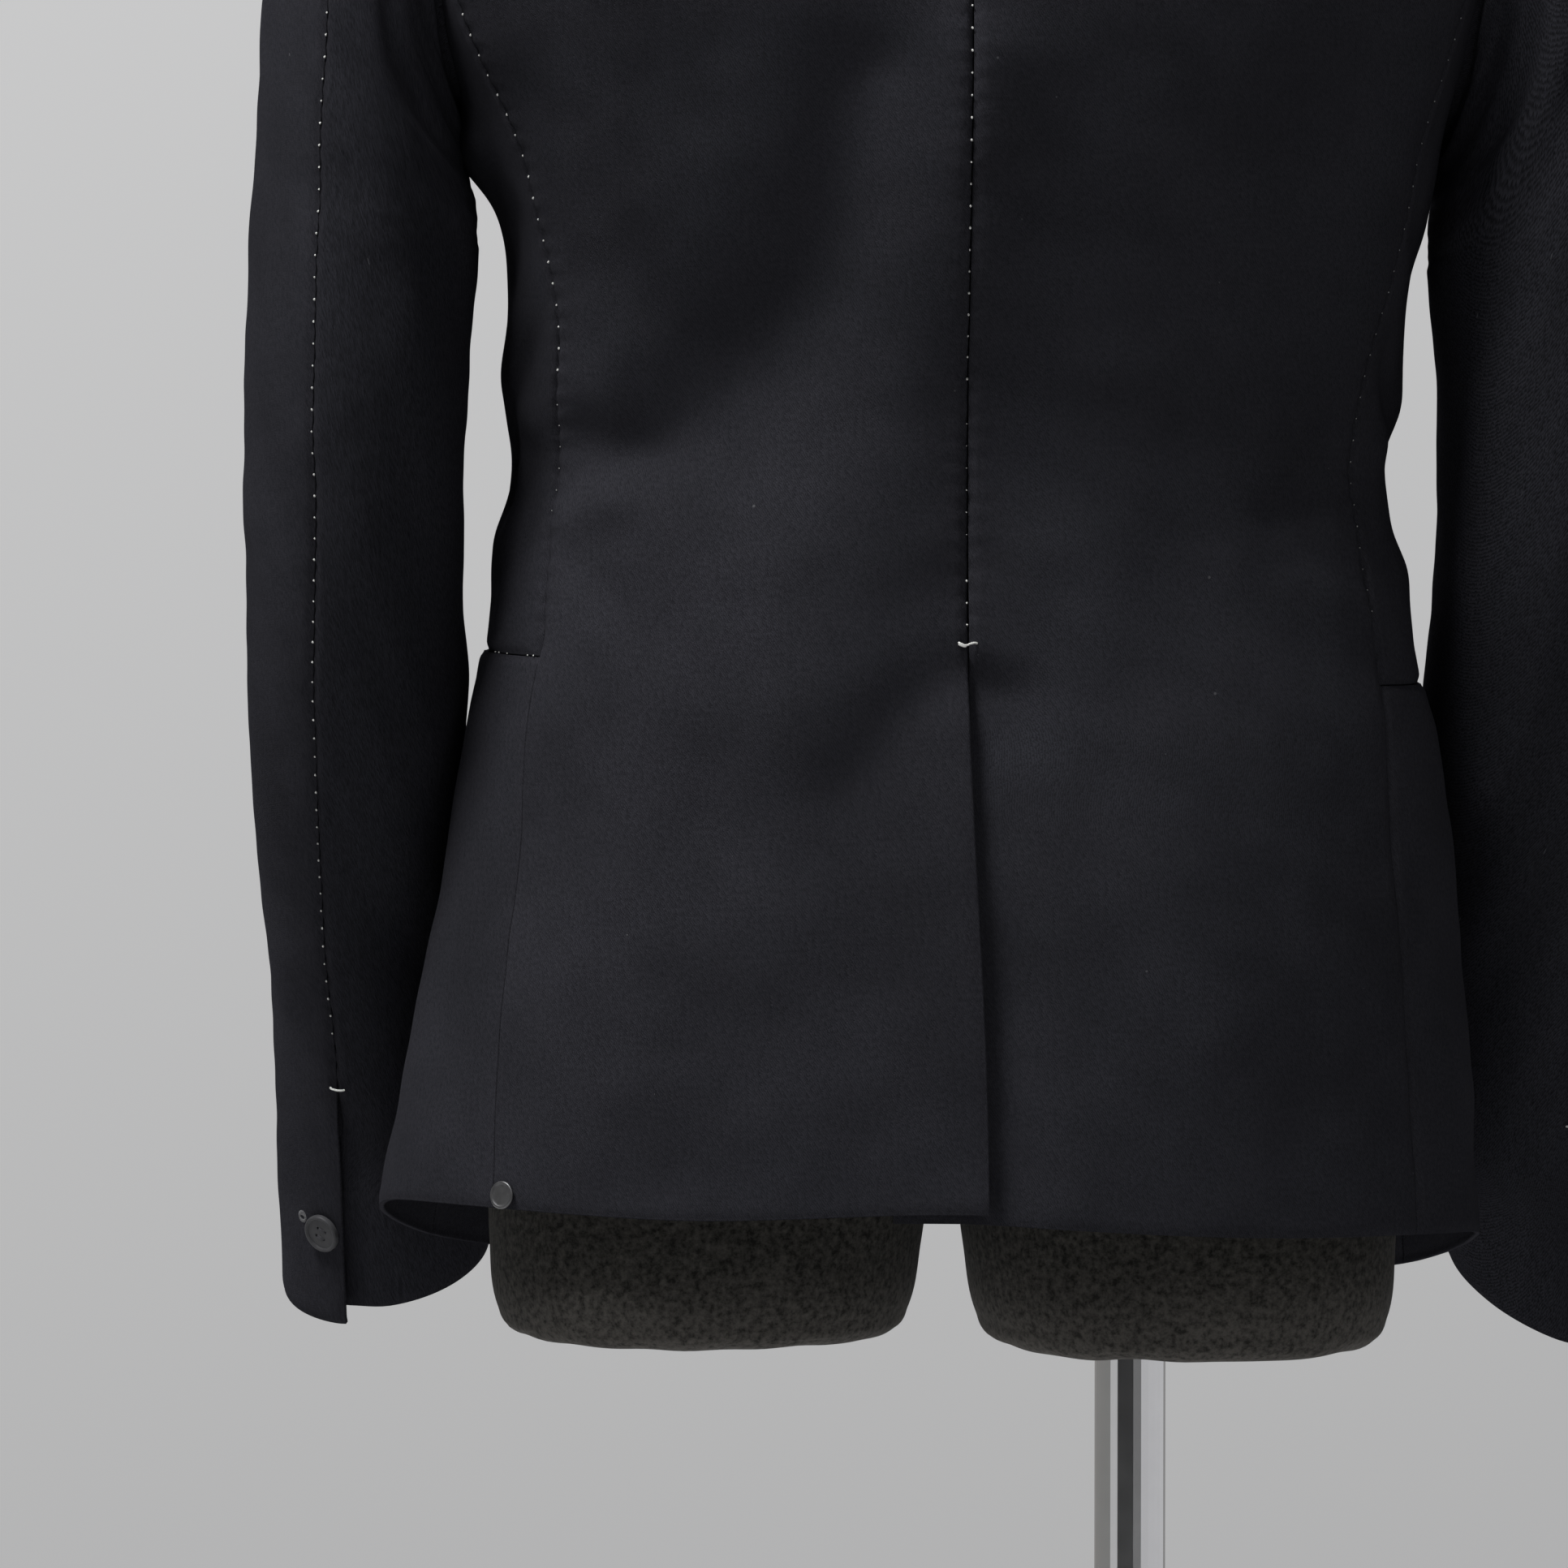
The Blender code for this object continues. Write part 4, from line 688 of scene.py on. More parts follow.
def backHalf(side):
    t, k = tailoring, ventCut

    def middle(z):
        if side > 0:
            drift = k["drift"] * ease((t["ventTop"] - z) / k["driftReach"])
            return turnAt(side, t["sewGap"] / 2 - drift, z)
        under = k["underlap"] * ease((t["ventTop"] - k["underStart"] - z) / k["underReach"])
        return turnAt(side, t["sewGap"] / 2 - under, z)

    def outer(z):
        turn = seamTurn(side, z)
        return turn - turnShift(side, turn, z, t["sewGap"] / 2)

    def hemEdge(turn, u):
        lift = k["flapLift"] if side > 0 else 0.0
        return hemHeight(turn) + lift * (1.0 - ease(turn / k["liftTurn"]))

    def sink(turn, z, x):
        if side > 0:
            edge = np.exp(-(np.maximum(x, 0) / k["gapeWidth"]) ** 2)
            return k["gape"] * ease((t["ventTop"] - z) / k["gapeReach"]) * edge
        near = 1.0 - ease((-x - k["sinkFrom"]) / k["sinkWidth"])
        return -(t["cloth"] + 4.0 * t["lap"]) * near * ease((t["ventTop"] + 0.003 - z) / 0.018)

    return bodyPanel("back", side, {
        "first": middle, "last": outer, "sink": sink,
        "edges": [hemEdge, pocketLine, level(t["armholeBack"]), topEdge(side)],
        "bands": [steps(0.205, 0.0021, ends=(True, False)), steps(0.283, 0.0021, ends=(False, False)),
                  roundRows(46)],
        "across": steps(0.180, 0.0031),
        "dips": [aboveOnly(0.0017, 0.0004, t["ventTop"] - 0.010),
                 aboveOnly(0.0014, 0.00015 if side > 0 else 0.0008, t["pocketZ"] - 0.004),
                 flat(0.0007), flat(0.0005)],
        "pucker": [aboveOnly(0.00040, 0.0, t["ventTop"]), aboveOnly(0.00040, 0.0, t["pocketZ"] + 0.01)],
    })


def sidePanel(side):
    t = tailoring

    def first(z):
        turn = seamTurn(side, np.minimum(z, t["armholeBack"]))
        return turn + turnShift(side, turn, z, t["sewGap"] / 2)

    def last(z):
        turn = sideFrontTurn(side, np.minimum(z, t["armholeFront"]))
        return turn - turnShift(side, turn, z, t["sewGap"] / 2)

    # the panel's back edge lies a little lower than the back, which curls over it at the waist
    def sink(turn, z, x):
        edge = seamTurn(side, z)
        return -0.0011 * np.exp(-((turn - edge) / 5.0) ** 2) * np.exp(-((z - 1.150) / 0.06) ** 2)

    return bodyPanel("side", side, {
        "first": first, "last": last, "sink": sink,
        "edges": [level(t["pocketZ"] + t["sewGap"] / 2), lambda turn, u: armholeFloor(u) + 0 * turn],
        "bands": [steps(0.230, 0.0021)], "across": steps(0.140, 0.0030),
        "dips": [flat(0.0015), flat(0.0010), flat(0.0014), flat(0.0006)],
        "pucker": [flat(0.00040), flat(0.0)],
    })


def pocketPanel(side):
    t = tailoring

    def first(z):
        turn = seamTurn(side, z)
        return turn + turnShift(side, turn, z, t["sewGap"] / 2)

    def last(z):
        turn = np.full(np.shape(z), t["sideFrontTurn"])
        return turn - turnShift(side, turn, z, t["sewGap"] / 2)

    def sink(turn, z, x):
        part = np.clip((turn - 72.0) / (t["sideFrontTurn"] - 72.0), 0.0, 1.0)
        return 0.0016 * np.sin(pi * part) * ease((z - t["pocketZ"]) / 0.060 + 1.0)

    return bodyPanel("pocket", side, {
        "first": first, "last": last, "sink": sink,
        "edges": [lambda turn, u: hemHeight(turn), level(t["pocketZ"] - t["sewGap"] / 2)],
        "bands": [steps(0.220, 0.0022)], "across": steps(0.150, 0.0030),
        "dips": [flat(0.00012 if side > 0 else 0.0009), flat(0.0008), flat(0.0007), flat(0.0012)],
        "pucker": [flat(0.0), flat(0.0)],
    })


def frontHalf(side):
    t = tailoring

    def first(z):
        turn = sideFrontTurn(side, z)
        return turn + turnShift(side, turn, z, t["sewGap"] / 2)

    def last(z):
        return 180.0 - turnAt(side, rollX(z), z)

    def hemEdge(turn, u):
        z = hemHeight(turn)
        inside = plainSkin(side, turn, z)[..., 0] * side - rollX(z)
        short = np.clip(t["frontCorner"] - np.maximum(0.0, inside), 0.0, t["frontCorner"])
        return z + t["frontCorner"] - np.sqrt(t["frontCorner"] ** 2 - short ** 2)

    def sink(turn, z, x):
        if side > 0:
            return 0.0 * z
        near = 1.0 - ease((-x - 0.018) / 0.035)
        return -(t["cloth"] + 1.4 * t["lap"]) * near * ease((1.215 - z) / 0.045)

    return bodyPanel("front", side, {
        "first": first, "last": last, "sink": sink,
        "edges": [hemEdge, pocketLine, level(t["armholeFront"]), topEdge(side)],
        "bands": [steps(0.240, 0.0030, ends=(True, False)), steps(0.260, 0.0030, ends=(False, False)),
                  roundRows(40)],
        "across": steps(0.190, 0.0032),
        "dips": [flat(0.0008), flat(0.0007), flat(0.0007), flat(0.0005)],
        "pucker": [flat(0.0), flat(0.0)],
    })


body = {}
for side, word in ((1, "Left"), (-1, "Right")):
    body["back" + word] = backHalf(side)
    body["side" + word] = sidePanel(side)
    body["pocket" + word] = pocketPanel(side)
    body["front" + word] = frontHalf(side)
print("body panels built")

# Sleeves: the tube's rings from the cuff up
sleeveTube = {
    "z": [0.768, 0.800, 0.860, 0.930, 1.000, 1.070, 1.130, 1.170],
    "x": [0.2158, 0.2172, 0.2200, 0.2252, 0.2278, 0.2283, 0.2268, 0.2245],
    "y": [-0.140, -0.127, -0.101, -0.067, -0.024, 0.002, 0.007, 0.005],
    "across": [0.0428, 0.0422, 0.0415, 0.0415, 0.0420, 0.0420, 0.0428, 0.0438],
    "deep": [0.0470, 0.0480, 0.0510, 0.0565, 0.0615, 0.0660, 0.0700, 0.0725],
    "tip": [9.0, 7.0, 3.0, 0.0, 0.0, 0.0, 0.0, 0.0],
}
rightSleeve = {
    "z": [0.768, 0.800, 0.860, 0.930, 1.170],
    "out": [0.0370, 0.0290, 0.0160, 0.0050, 0.0050],
    "tip": [30.0, 24.0, 10.0, 0.0, 0.0],
}
sleeveCut = {
    "tubeTop": 1.170, "hem": 0.768, "seam": 0.00050, "start": 0.0006,
    "headRoll": 0.22, "headReach": 0.42, "headFall": 1.25, "elbow": (56.0, 67.0), "inner": 242.0,
    "ventTop": 0.858, "underlap": 32.0, "tuck": (0.0050, 0.0020),
    "stitchEnd": 0.8600, "tackZ": 0.8570, "buttonZ": 0.7965, "buttonAngle": 56.0, "eyeletAngle": 39.8,
    "angleRun": 0.00087, "tubeRun": 0.402, "headRun": 0.30, "seamRadius": 0.05,
    "flapDrop": 0.0088, "flapPart": (0.30, 0.60), "underDrop": 0.0025,
}
# angle times 0.87 mm and length down the tube, the same at the other end, width, height, bend
sleeveFolds = [
    (0.060, -0.260, 0.105, -0.120, 0.015, -0.0044, 0.08),
    (0.090, -0.300, 0.140, -0.200, 0.014, 0.0031, 0.06),
    (0.036, -0.330, 0.030, -0.200, 0.014, 0.0024, 0.04),
    (0.070, -0.080, 0.115, 0.010, 0.017, -0.0027, -0.05),
    (0.100, 0.030, 0.130, 0.100, 0.014, 0.0022, 0.05),
    (0.058, 0.090, 0.088, 0.150, 0.014, -0.0022, 0.06),
    (0.075, 0.200, 0.110, 0.265, 0.014, -0.0020, 0.05),
    (0.105, 0.180, 0.150, 0.165, 0.012, 0.0020, 0.04),
    (0.012, 0.120, 0.044, 0.170, 0.014, -0.0020, 0.05),
    (0.000, -0.060, 0.040, -0.010, 0.016, -0.0020, 0.05),
    (-0.020, 0.230, 0.020, 0.300, 0.016, -0.0017, 0.05),
    (-0.090, 0.120, -0.050, 0.130, 0.011, -0.0041, 0.06),
    (-0.095, 0.160, -0.055, 0.190, 0.011, -0.0034, 0.05),
    (-0.100, 0.140, -0.060, 0.158, 0.010, 0.0031, 0.04),
    (-0.085, 0.210, -0.045, 0.245, 0.012, 0.0020, 0.04),
    (-0.060, -0.200, -0.020, -0.120, 0.016, -0.0024, 0.05),
    (0.200, 0.120, 0.225, 0.135, 0.012, -0.0034, 0.06),
    (0.195, 0.170, 0.228, 0.190, 0.012, 0.0024, 0.05),
]


def armholePlace(side, angle):
    t = tailoring
    middle, half = (t["tipZ"] + t["armholeLow"]) / 2, (t["tipZ"] - t["armholeLow"]) / 2
    z = middle + half * np.cos(np.radians(angle))
    behind = angle <= 180.0
    joint = np.where(behind, t["armholeBack"], t["armholeFront"])
    part = np.sqrt(np.clip((z - t["armholeLow"]) / (joint - t["armholeLow"]), 0, None))
    u = np.where(behind, t["armholeMiddle"] * (1.0 - part), mix(t["armholeMiddle"], 1.0, part))
    first = seamTurn(side, np.minimum(z, t["armholeBack"]))
    last = sideFrontTurn(side, np.minimum(z, t["armholeFront"]))
    edge = np.where(behind, seamTurn(side, z), sideFrontTurn(side, z))
    return plainSkin(side, np.where(z >= joint, edge, mix(first, last, u)), z)


def tubeMiddle(side, z):
    outward = column(rightSleeve, "out", z) if side < 0 else 0.0
    return vec(column(sleeveTube, "x", z) + outward, column(sleeveTube, "y", z), z)


def tubePoint(side, angle, z, out=0.0):
    step = 0.004
    inner = np.clip(z, sleeveCut["hem"] + step, sleeveCut["tubeTop"] - step)
    axis = unit(tubeMiddle(side, inner + step) - tubeMiddle(side, inner - step))
    across = unit(vec(1.0 - axis[..., 0] ** 2, -axis[..., 0] * axis[..., 1], -axis[..., 0] * axis[..., 2]))
    deep = np.cross(axis, across)
    tip = np.radians(column(sleeveTube if side > 0 else rightSleeve, "tip", z))[..., None]
    across = unit(across * np.cos(tip) - axis * np.sin(tip))
    wide = (np.cos(np.radians(angle)) * (column(sleeveTube, "across", z) + out))[..., None]
    long = (np.sin(np.radians(angle)) * (column(sleeveTube, "deep", z) + out))[..., None]
    point = tubeMiddle(side, z) + across * wide + deep * long
    point[..., 0] *= side
    return point


def sleevePoint(side, angle, t, out=0.0):
    k = sleeveCut
    angle, t, out = np.broadcast_arrays(*(np.asarray(v, float) for v in (angle, t, out)))
    low = tubePoint(side, angle, mix(k["tubeTop"], k["hem"], np.clip(t - 1.0, 0.0, 1.2)), out)
    start = armholePlace(side, angle % 360.0)
    top = np.full(t.shape, k["tubeTop"])
    end = tubePoint(side, angle, top, out)
    around = np.radians(angle)
    leave = unit(vec(side + 0 * angle, k["headRoll"] * np.sin(around), k["headRoll"] * np.cos(around)))
    start = start + leave * k["start"]
    length = np.linalg.norm(end - start, axis=-1)[..., None]
    arrive = unit(tubePoint(side, angle, top - 0.004, out) - end)
    s = np.clip(t, 0.0, 1.0)[..., None]
    head = start * (1 + 2 * s) * (1 - s) ** 2 + leave * length * k["headReach"] * s * (1 - s) ** 2
    head = head + end * s * s * (3 - 2 * s) + arrive * length * k["headFall"] * s * s * (s - 1)
    return np.where(t[..., None] >= 1.0, low, head)


def sleeveNormal(side, angle, t):
    around = sleevePoint(side, angle + 1.0, t) - sleevePoint(side, angle - 1.0, t)
    down = sleevePoint(side, angle, t + 0.006) - sleevePoint(side, angle, t - 0.006)
    return unit(np.cross(around, down) * -side)


def tubePart(z):
    # a height below the tube's top as the sleeve's own measure, 1 at the top and 2 at the hem
    k = sleeveCut
    return 1.0 + (k["tubeTop"] - z) / (k["tubeTop"] - k["hem"])


def elbowAngle(t):
    return mix(sleeveCut["elbow"][0], sleeveCut["elbow"][1], ease(t / 1.3))


def sleeveRows():
    tubeLength = 0.440
    head = np.concatenate([[0.0, 0.004, 0.010, 0.019, 0.032], np.linspace(0.05, 1.0, 96)])
    tube = 1.0 + steps(tubeLength, 0.0024, ends=(False, True))[1:]
    return np.concatenate([head, tube])


def sleeveHalf(side, top):
    k = sleeveCut
    t = sleeveRows()[:, None]
    halfGap = np.degrees(k["seam"] / 2 / k["seamRadius"])
    ventT = tubePart(k["ventTop"])
    u = steps(0.155, 0.0031)[None, :]
    elbow = elbowAngle(t)
    if top:
        angle = mix(elbow - halfGap, k["inner"] - 360.0 + halfGap, u)
        sink = 0.0007 * ease((t - ventT) / 0.08) * np.exp(-((elbow - angle) / 14.0) ** 2)
    else:
        lap = k["underlap"] * ease((t - ventT - 0.045) / 0.075)
        angle = mix(elbow + halfGap - lap, k["inner"] - halfGap, u)
        near = 1.0 - ease((angle - elbow - 2.0) / 24.0)
        sink = -(tailoring["cloth"] + 2.4 * tailoring["lap"]) * near * ease((t - ventT + 0.010) / 0.05)
    t = t + 0 * angle
    plain = sleevePoint(side, angle, t)
    across, down = runs(plain)
    fromLast = across[:, -1:] - across
    fromHem = down[-1:, :] - down
    measure = angle * k["angleRun"]
    along = (t - 1.0) * np.where(t > 1.0, k["tubeRun"], k["headRun"])
    folds = foldsRise(sleeveFolds, measure, along)
    folds = folds + 0.00050 * uneven(measure, along * side, 0.085, 4.0 + side)
    folds = folds + 0.00016 * uneven(measure, along, 0.030, 6.0 + side)
    folds = folds * ease(t / 0.12) * (1.0 - 0.7 * np.exp(-(fromHem / 0.015) ** 2))
    opened = ease((t - ventT) / 0.02)
    out = folds + sink + edgeDip(across, mix(0.0015, 0.0004, opened)) + edgeDip(fromLast, 0.0007)
    out = out + edgeDip(fromHem, 0.0006) + edgeDip(down, 0.0004)
    out = out + puckers(across, down, 0.00038 * (1.0 - opened) * ease(t / 0.1))
    spread = sleeveNormal(side, angle, t)
    points = plain + spread * out[..., None]
    forward = ease((u - k["flapPart"][0]) / k["flapPart"][1]) if top else 1.0
    points[..., 2] -= mix(k["flapDrop"], k["underDrop"], forward) * ease((t - 1.9) / 0.1)
    points = hang(points)
    # the seam's allowance is tucked in under the edge of the body's cloth
    tucked = points[:1] - vec(side * k["tuck"][0] + 0 * u, 0 * u, 0 * u) - spread[:1] * k["tuck"][1]
    word = sideWord(side)
    name = ("topSleeve" if top else "underSleeve") + word
    piece = gridMesh(name, np.vstack([tucked, points]), np.vstack([across[:1], across]) * side,
                     -np.vstack([down[:1] - k["tuck"][0], down]), blazerTwill if top else underShadedTwill,
                     flip=(side < 0) if top else (side > 0), wall=tailoring["cloth"])
    node = ("top_sleeve_" if top else "under_sleeve_") + word.lower()
    finishPiece(piece, "cloth" if top else "under_cloth", node)
    return {"piece": piece, "points": points, "normal": spread, "t": t,
            "width": float(across[:, -1].max()), "length": float(down[-1].max()) + k["tuck"][0]}


sleeves = {}
for side, word in ((1, "Left"), (-1, "Right")):
    sleeves["top" + word] = sleeveHalf(side, True)
    sleeves["under" + word] = sleeveHalf(side, False)
print("sleeves built")

# Lapels and collar
lapelCut = {
    "width": 0.082, "slant": (14.0, 24.0), "lift": 0.0034, "start": (0.004, 0.052),
    "collarSlant": 25.0, "fall": (0.023, 0.040, 0.046), "stand": (0.036, 0.030, 0.005),
    "tip": 38.0, "seat": 0.0013,
}
collarSection = {
    "step": [0, 1, 2, 3, 4, 5, 6, 7],
    "part": [0.00, -0.07, -0.06, 0.04, 0.22, 0.45, 0.72, 1.00],
    "rise": [0.00, 0.50, 0.86, 1.00, 0.92, 0.64, 0.27, 0.00],
}


def makeLapel(side):
    t, k = tailoring, lapelCut
    start = t["breakZ"] + k["start"][0 if side > 0 else 1]
    z = mix(start, t["gorgeZ"] - t["sewGap"], steps(0.300, 0.0030, ends=(False, True)))[:, None]
    share = (z - t["breakZ"]) / (t["gorgeZ"] - t["breakZ"])
    part = steps(0.080, 0.0026)[None, :]
    hidden = np.maximum(0.0, 0.003 - 2.0 * rollX(z)) if side < 0 else 0.0 * z
    away = mix(hidden, mix(0.006, k["width"], share ** 0.82), part)
    slant = np.radians(mix(k["slant"][0], k["slant"][1], share))
    x = rollX(z) + away * np.cos(slant)
    low = z - away * np.sin(slant)
    turn = 180.0 - turnAt(side, x, low)
    plain = plainSkin(side, turn, low)
    across, up = runs(plain)
    fromLast, fromTop = across[:, -1:] - across, up[-1:, :] - up
    out = t["collarCloth"] + t["lap"] + 0.0004 + k["lift"] * np.sin(pi * part ** 0.7) * ease(share * 3)
    out = out + edgeDip(fromLast, 0.0007) + edgeDip(fromTop, 0.0005) + edgeDip(up, 0.0005)
    out = out + 0.00022 * uneven(across * side, up, 0.07, 11.0 + side)
    out = out - 0.0014 * np.exp(-(across / 0.004) ** 2)
    points = hang(plain + skinNormal(side, turn, low) * out[..., None])
    word = sideWord(side)
    piece = gridMesh("lapel" + word, points, across * side, up, collarTwill,
                     flip=side < 0, wall=t["collarCloth"])
    finishPiece(piece, "collar_cloth", "lapel_" + word.lower())
    return {"piece": piece, "points": points, "width": k["width"], "length": float(up[-1].max())}


def shoulderSurface(x, y):
    behind = y >= tailoring["shoulderY"]
    face = np.where(behind, 1.0, -1.0)
    closed = closingDepth(x, behind)
    z = shoulderHeight(x)
    for _ in range(8):
        half = column(jacket, "left", z)
        square = column(jacket, "square", z)
        depth = np.where(behind, column(jacket, "back", z), column(jacket, "front", z))
        full = face * depth * (1.0 - np.minimum(1.0, np.abs(x) / half) ** square) ** (1.0 / square)
        part = np.clip((y - closed) / (full - closed), 0.0, 0.995)
        z = shoulderHeight(x) - tailoring["shoulderRound"] * (1.0 - np.sqrt(1.0 - part * part))
    return vec(x, y, z)


def threeWay(values, t):
    return np.where(t <= 1.0, mix(values[0], values[1], ease(t)), mix(values[1], values[2], ease(t - 1.0)))


def collarGround(t, away):
    k = tailoring
    around = np.radians(90.0 * np.minimum(t, 1.0))
    neck = shoulderSurface((k["neckX"] + away) * np.sin(around),
                           k["shoulderY"] + (k["neckBack"] + away) * np.cos(around))
    z = mix(k["neckZ"], k["gorgeZ"] + 0.0004, np.clip(t - 1.0, 0.0, 1.0))
    fall = (k["neckZ"] - k["tipZ"]) / (k["tipX"] - k["neckX"])
    slant = mix(fall, sin(radians(lapelCut["collarSlant"])), ease((t - 1.0) * 2))
    x = rollX(z) + away
    low = np.minimum(z - away * slant, shoulderHeight(x))
    chest = plainSkin(1, 180.0 - turnAt(1, x, low), low)
    return np.where((t <= 1.0)[..., None], neck, chest)


def makeCollar():
    # stand and fall in one folded piece, from gorge to gorge round the back of the neck
    k = lapelCut
    half = np.linspace(0.0, 2.0, 75)
    s = [np.linspace(0.0, 0.02, 3)[:-1], np.linspace(0.02, 0.98, 40), np.linspace(0.98, 1.0, 4)[1:]]
    s = np.concatenate(s) * 7.0
    t, s = np.meshgrid(half, s, indexing="ij")
    part, rise = column(collarSection, "part", s), column(collarSection, "rise", s)
    ground = collarGround(t, part * threeWay(k["fall"], t) - 0.0008 * ease((t - 1.0) * 4))
    over = ease((part - 0.35) / 0.25)
    lift = mix(k["seat"], (0.0024 + tailoring["lap"]) * 1.6, over)
    tip = np.radians(k["tip"] * np.clip(t - 1.0, 0.0, 1.0))
    up = vec(0 * t, -np.sin(tip), np.cos(tip))
    rows = ground + up * (rise * threeWay(k["stand"], t) + lift)[..., None]
    # the neck's round and the chest's plain run into one another
    near = ease(1.5 - np.abs(t - 1.0) * 3.5)[1:-1, :, None]
    for _ in range(14):
        rows[1:-1] = mix(rows[1:-1], (rows[:-2] + 2.0 * rows[1:-1] + rows[2:]) / 4.0, near)
    mirrored = rows[::-1].copy()
    mirrored[..., 0] *= -1.0
    rows = np.vstack([mirrored[:-1], rows])
    across, along = runs(rows)
    piece = gridMesh("collarFold", rows, across, along, collarTwill, flip=True, wall=tailoring["collarCloth"])
    finishPiece(piece, "collar_cloth", "collar")
    return {"piece": piece, "points": rows, "width": float(across[:, -1].max()),
            "length": float(along[-1].max())}


lapels = {"Left": makeLapel(1), "Right": makeLapel(-1)}
collar = makeCollar()
print("lapels and collar built")


# Sewing: every stitch is thread that lies on the cloth
def alongLine(points, normals, spacing, start, end):
    # places evenly spaced along a line of points, with the way on and the way out
    gaps = np.linalg.norm(np.diff(points, axis=0), axis=1)
    run = np.concatenate([[0.0], np.cumsum(gaps)])
    places = np.arange(start, run[-1] - end, spacing)
    spot = np.stack([np.interp(places, run, points[:, i]) for i in range(3)], axis=1)
    ahead = np.stack([np.interp(places + 0.001, run, points[:, i]) for i in range(3)], axis=1)
    out = np.stack([np.interp(places, run, normals[:, i]) for i in range(3)], axis=1)
    return spot, unit(ahead - spot), unit(out)


def stitchShape(rings=5, sides=8):
    # a short fat loop of thread: an ellipsoid bowed down at both ends
    verts = [(-1.0, 0.0, -0.4)]
    for i in range(1, rings + 1):
        a = pi * i / (rings + 1)
        for j in range(sides):
            b = 2 * pi * j / sides
            verts.append((-cos(a), sin(a) * cos(b), sin(a) * sin(b) - 0.4 * cos(a) ** 2))
    verts.append((1.0, 0.0, -0.4))
    faces = [(0, 1 + (j + 1) % sides, 1 + j) for j in range(sides)]
    for i in range(rings - 1):
        for j in range(sides):
            a, b = 1 + i * sides + j, 1 + i * sides + (j + 1) % sides
            faces.append((a, b, b + sides, a + sides))
    last = 1 + rings * sides
    faces += [(last, last - sides + j, last - sides + (j + 1) % sides) for j in range(sides)]
    return np.array(verts), faces


def sewStitches(name, lines, size, material, slotName, lean=0.0):
    # size is half the stitch's length, width and height
    shape, shapeFaces = stitchShape()
    verts, faces = [], []
    for spots, ways, outs in lines:
        for i, (spot, way, out) in enumerate(zip(spots, ways, outs)):
            wobble = sin(i * 12.9898 + len(verts)) * 0.5
            beside = np.cross(out, way)
            way = unit(way + beside * (lean + 0.16 * wobble))
            beside = unit(np.cross(out, way))
            grow = 1.0 + 0.14 * sin(i * 4.7 + 1.0)
            local = shape * np.array(size) * grow
            base = len(verts)
            verts += (spot + local[:, :1] * way + local[:, 1:2] * beside + local[:, 2:] * out).tolist()
            faces += [tuple(base + v for v in face) for face in shapeFaces]
    mesh = bpy.data.meshes.new(name)
    mesh.from_pydata(verts, [], faces)
    mesh.shade_smooth()
    return finishPiece(newPiece(name, mesh, material), slotName)


def threadTube(name, lines, radius, material, slotName, resolution=3):
    # free-hand thread: smooth lines through points that lie on the cloth
    curve = bpy.data.curves.new(name, "CURVE")
    curve.dimensions = "3D"
    curve.bevel_depth = radius
    curve.bevel_resolution = resolution
    curve.use_fill_caps = True
    for line in lines:
        spline = curve.splines.new("NURBS")
        spline.points.add(len(line) - 1)
        for point, place in zip(spline.points, line):
            point.co = (*place, 1.0)
        spline.order_u = min(4, len(line))
        spline.use_endpoint_u = True
        spline.resolution_u = 4
    return finishPiece(newPiece(name, curve, material), slotName)


sewing = {
    "pick": 0.0084, "pickSize": (0.00046, 0.00038, 0.00034), "pickOut": 0.00010,
    "faintSize": (0.00026, 0.00022, 0.00020), "pocketSize": (0.00030, 0.00028, 0.00024),
    "sideSeam": {"Left": (1.118, 1.320), "Right": (1.024, 1.320)},
    "centreSeam": [(1.0225, 1.050), (1.112, 1.440)],
    # stretches of the left back's seams sewn with smaller, greyer stitches
    "faintSpans": [(0, (1.052, 1.110)), (-1, (1.060, 1.117))], "tackThread": 0.00040,
}


def seamLine(grid, columnIndex, zRange, shift=0.0):
    # one column of a panel's grid as a line, between two heights
    points, normals = grid["points"][:, columnIndex], grid["normal"][:, columnIndex]
    keep = (points[:, 2] >= zRange[0]) & (points[:, 2] <= zRange[1])
    points, normals = points[keep][::-1], normals[keep][::-1]
    inner = columnIndex - 1 if columnIndex < 0 else columnIndex + 1
    beside = unit(grid["points"][:, inner] - grid["points"][:, columnIndex])
    return points + normals * (sewing["pickOut"] + 0.0004) + beside[keep][::-1] * shift, normals


pickLines = []
faintLines = []
for side, word in ((1, "Left"), (-1, "Right")):
    if side > 0:
        for span in sewing["centreSeam"]:
            line = seamLine(body["backLeft"], 0, span, 0.0002)
            pickLines.append(alongLine(*line, sewing["pick"], 0.003, 0.004))
        for seam, span in sewing["faintSpans"]:
            line = seamLine(body["backLeft"], seam, span, 0.0002)
            faintLines.append(alongLine(*line, sewing["pick"], 0.003, 0.004))
    line = seamLine(body["back" + word], -1, sewing["sideSeam"][word], 0.0003)
    (pickLines if side > 0 else faintLines).append(alongLine(*line, sewing["pick"], 0.004, 0.006))
    sleeve = sleeves["top" + word]
    elbow = sleeve["points"][:, 0] + sleeve["normal"][:, 0] * 0.0005
    keep = (sleeve["t"][:, 0] > 0.10) & (elbow[:, 2] > sleeveCut["stitchEnd"])
    pickLines.append(alongLine(elbow[keep], sleeve["normal"][:, 0][keep], sewing["pick"], 0.004, 0.004))
sewStitches("pickStitches", pickLines, sewing["pickSize"], whiteThread, "cloth", 0.15)
sewStitches("faintStitches", faintLines, sewing["faintSize"], faintThread, "cloth", 0.15)


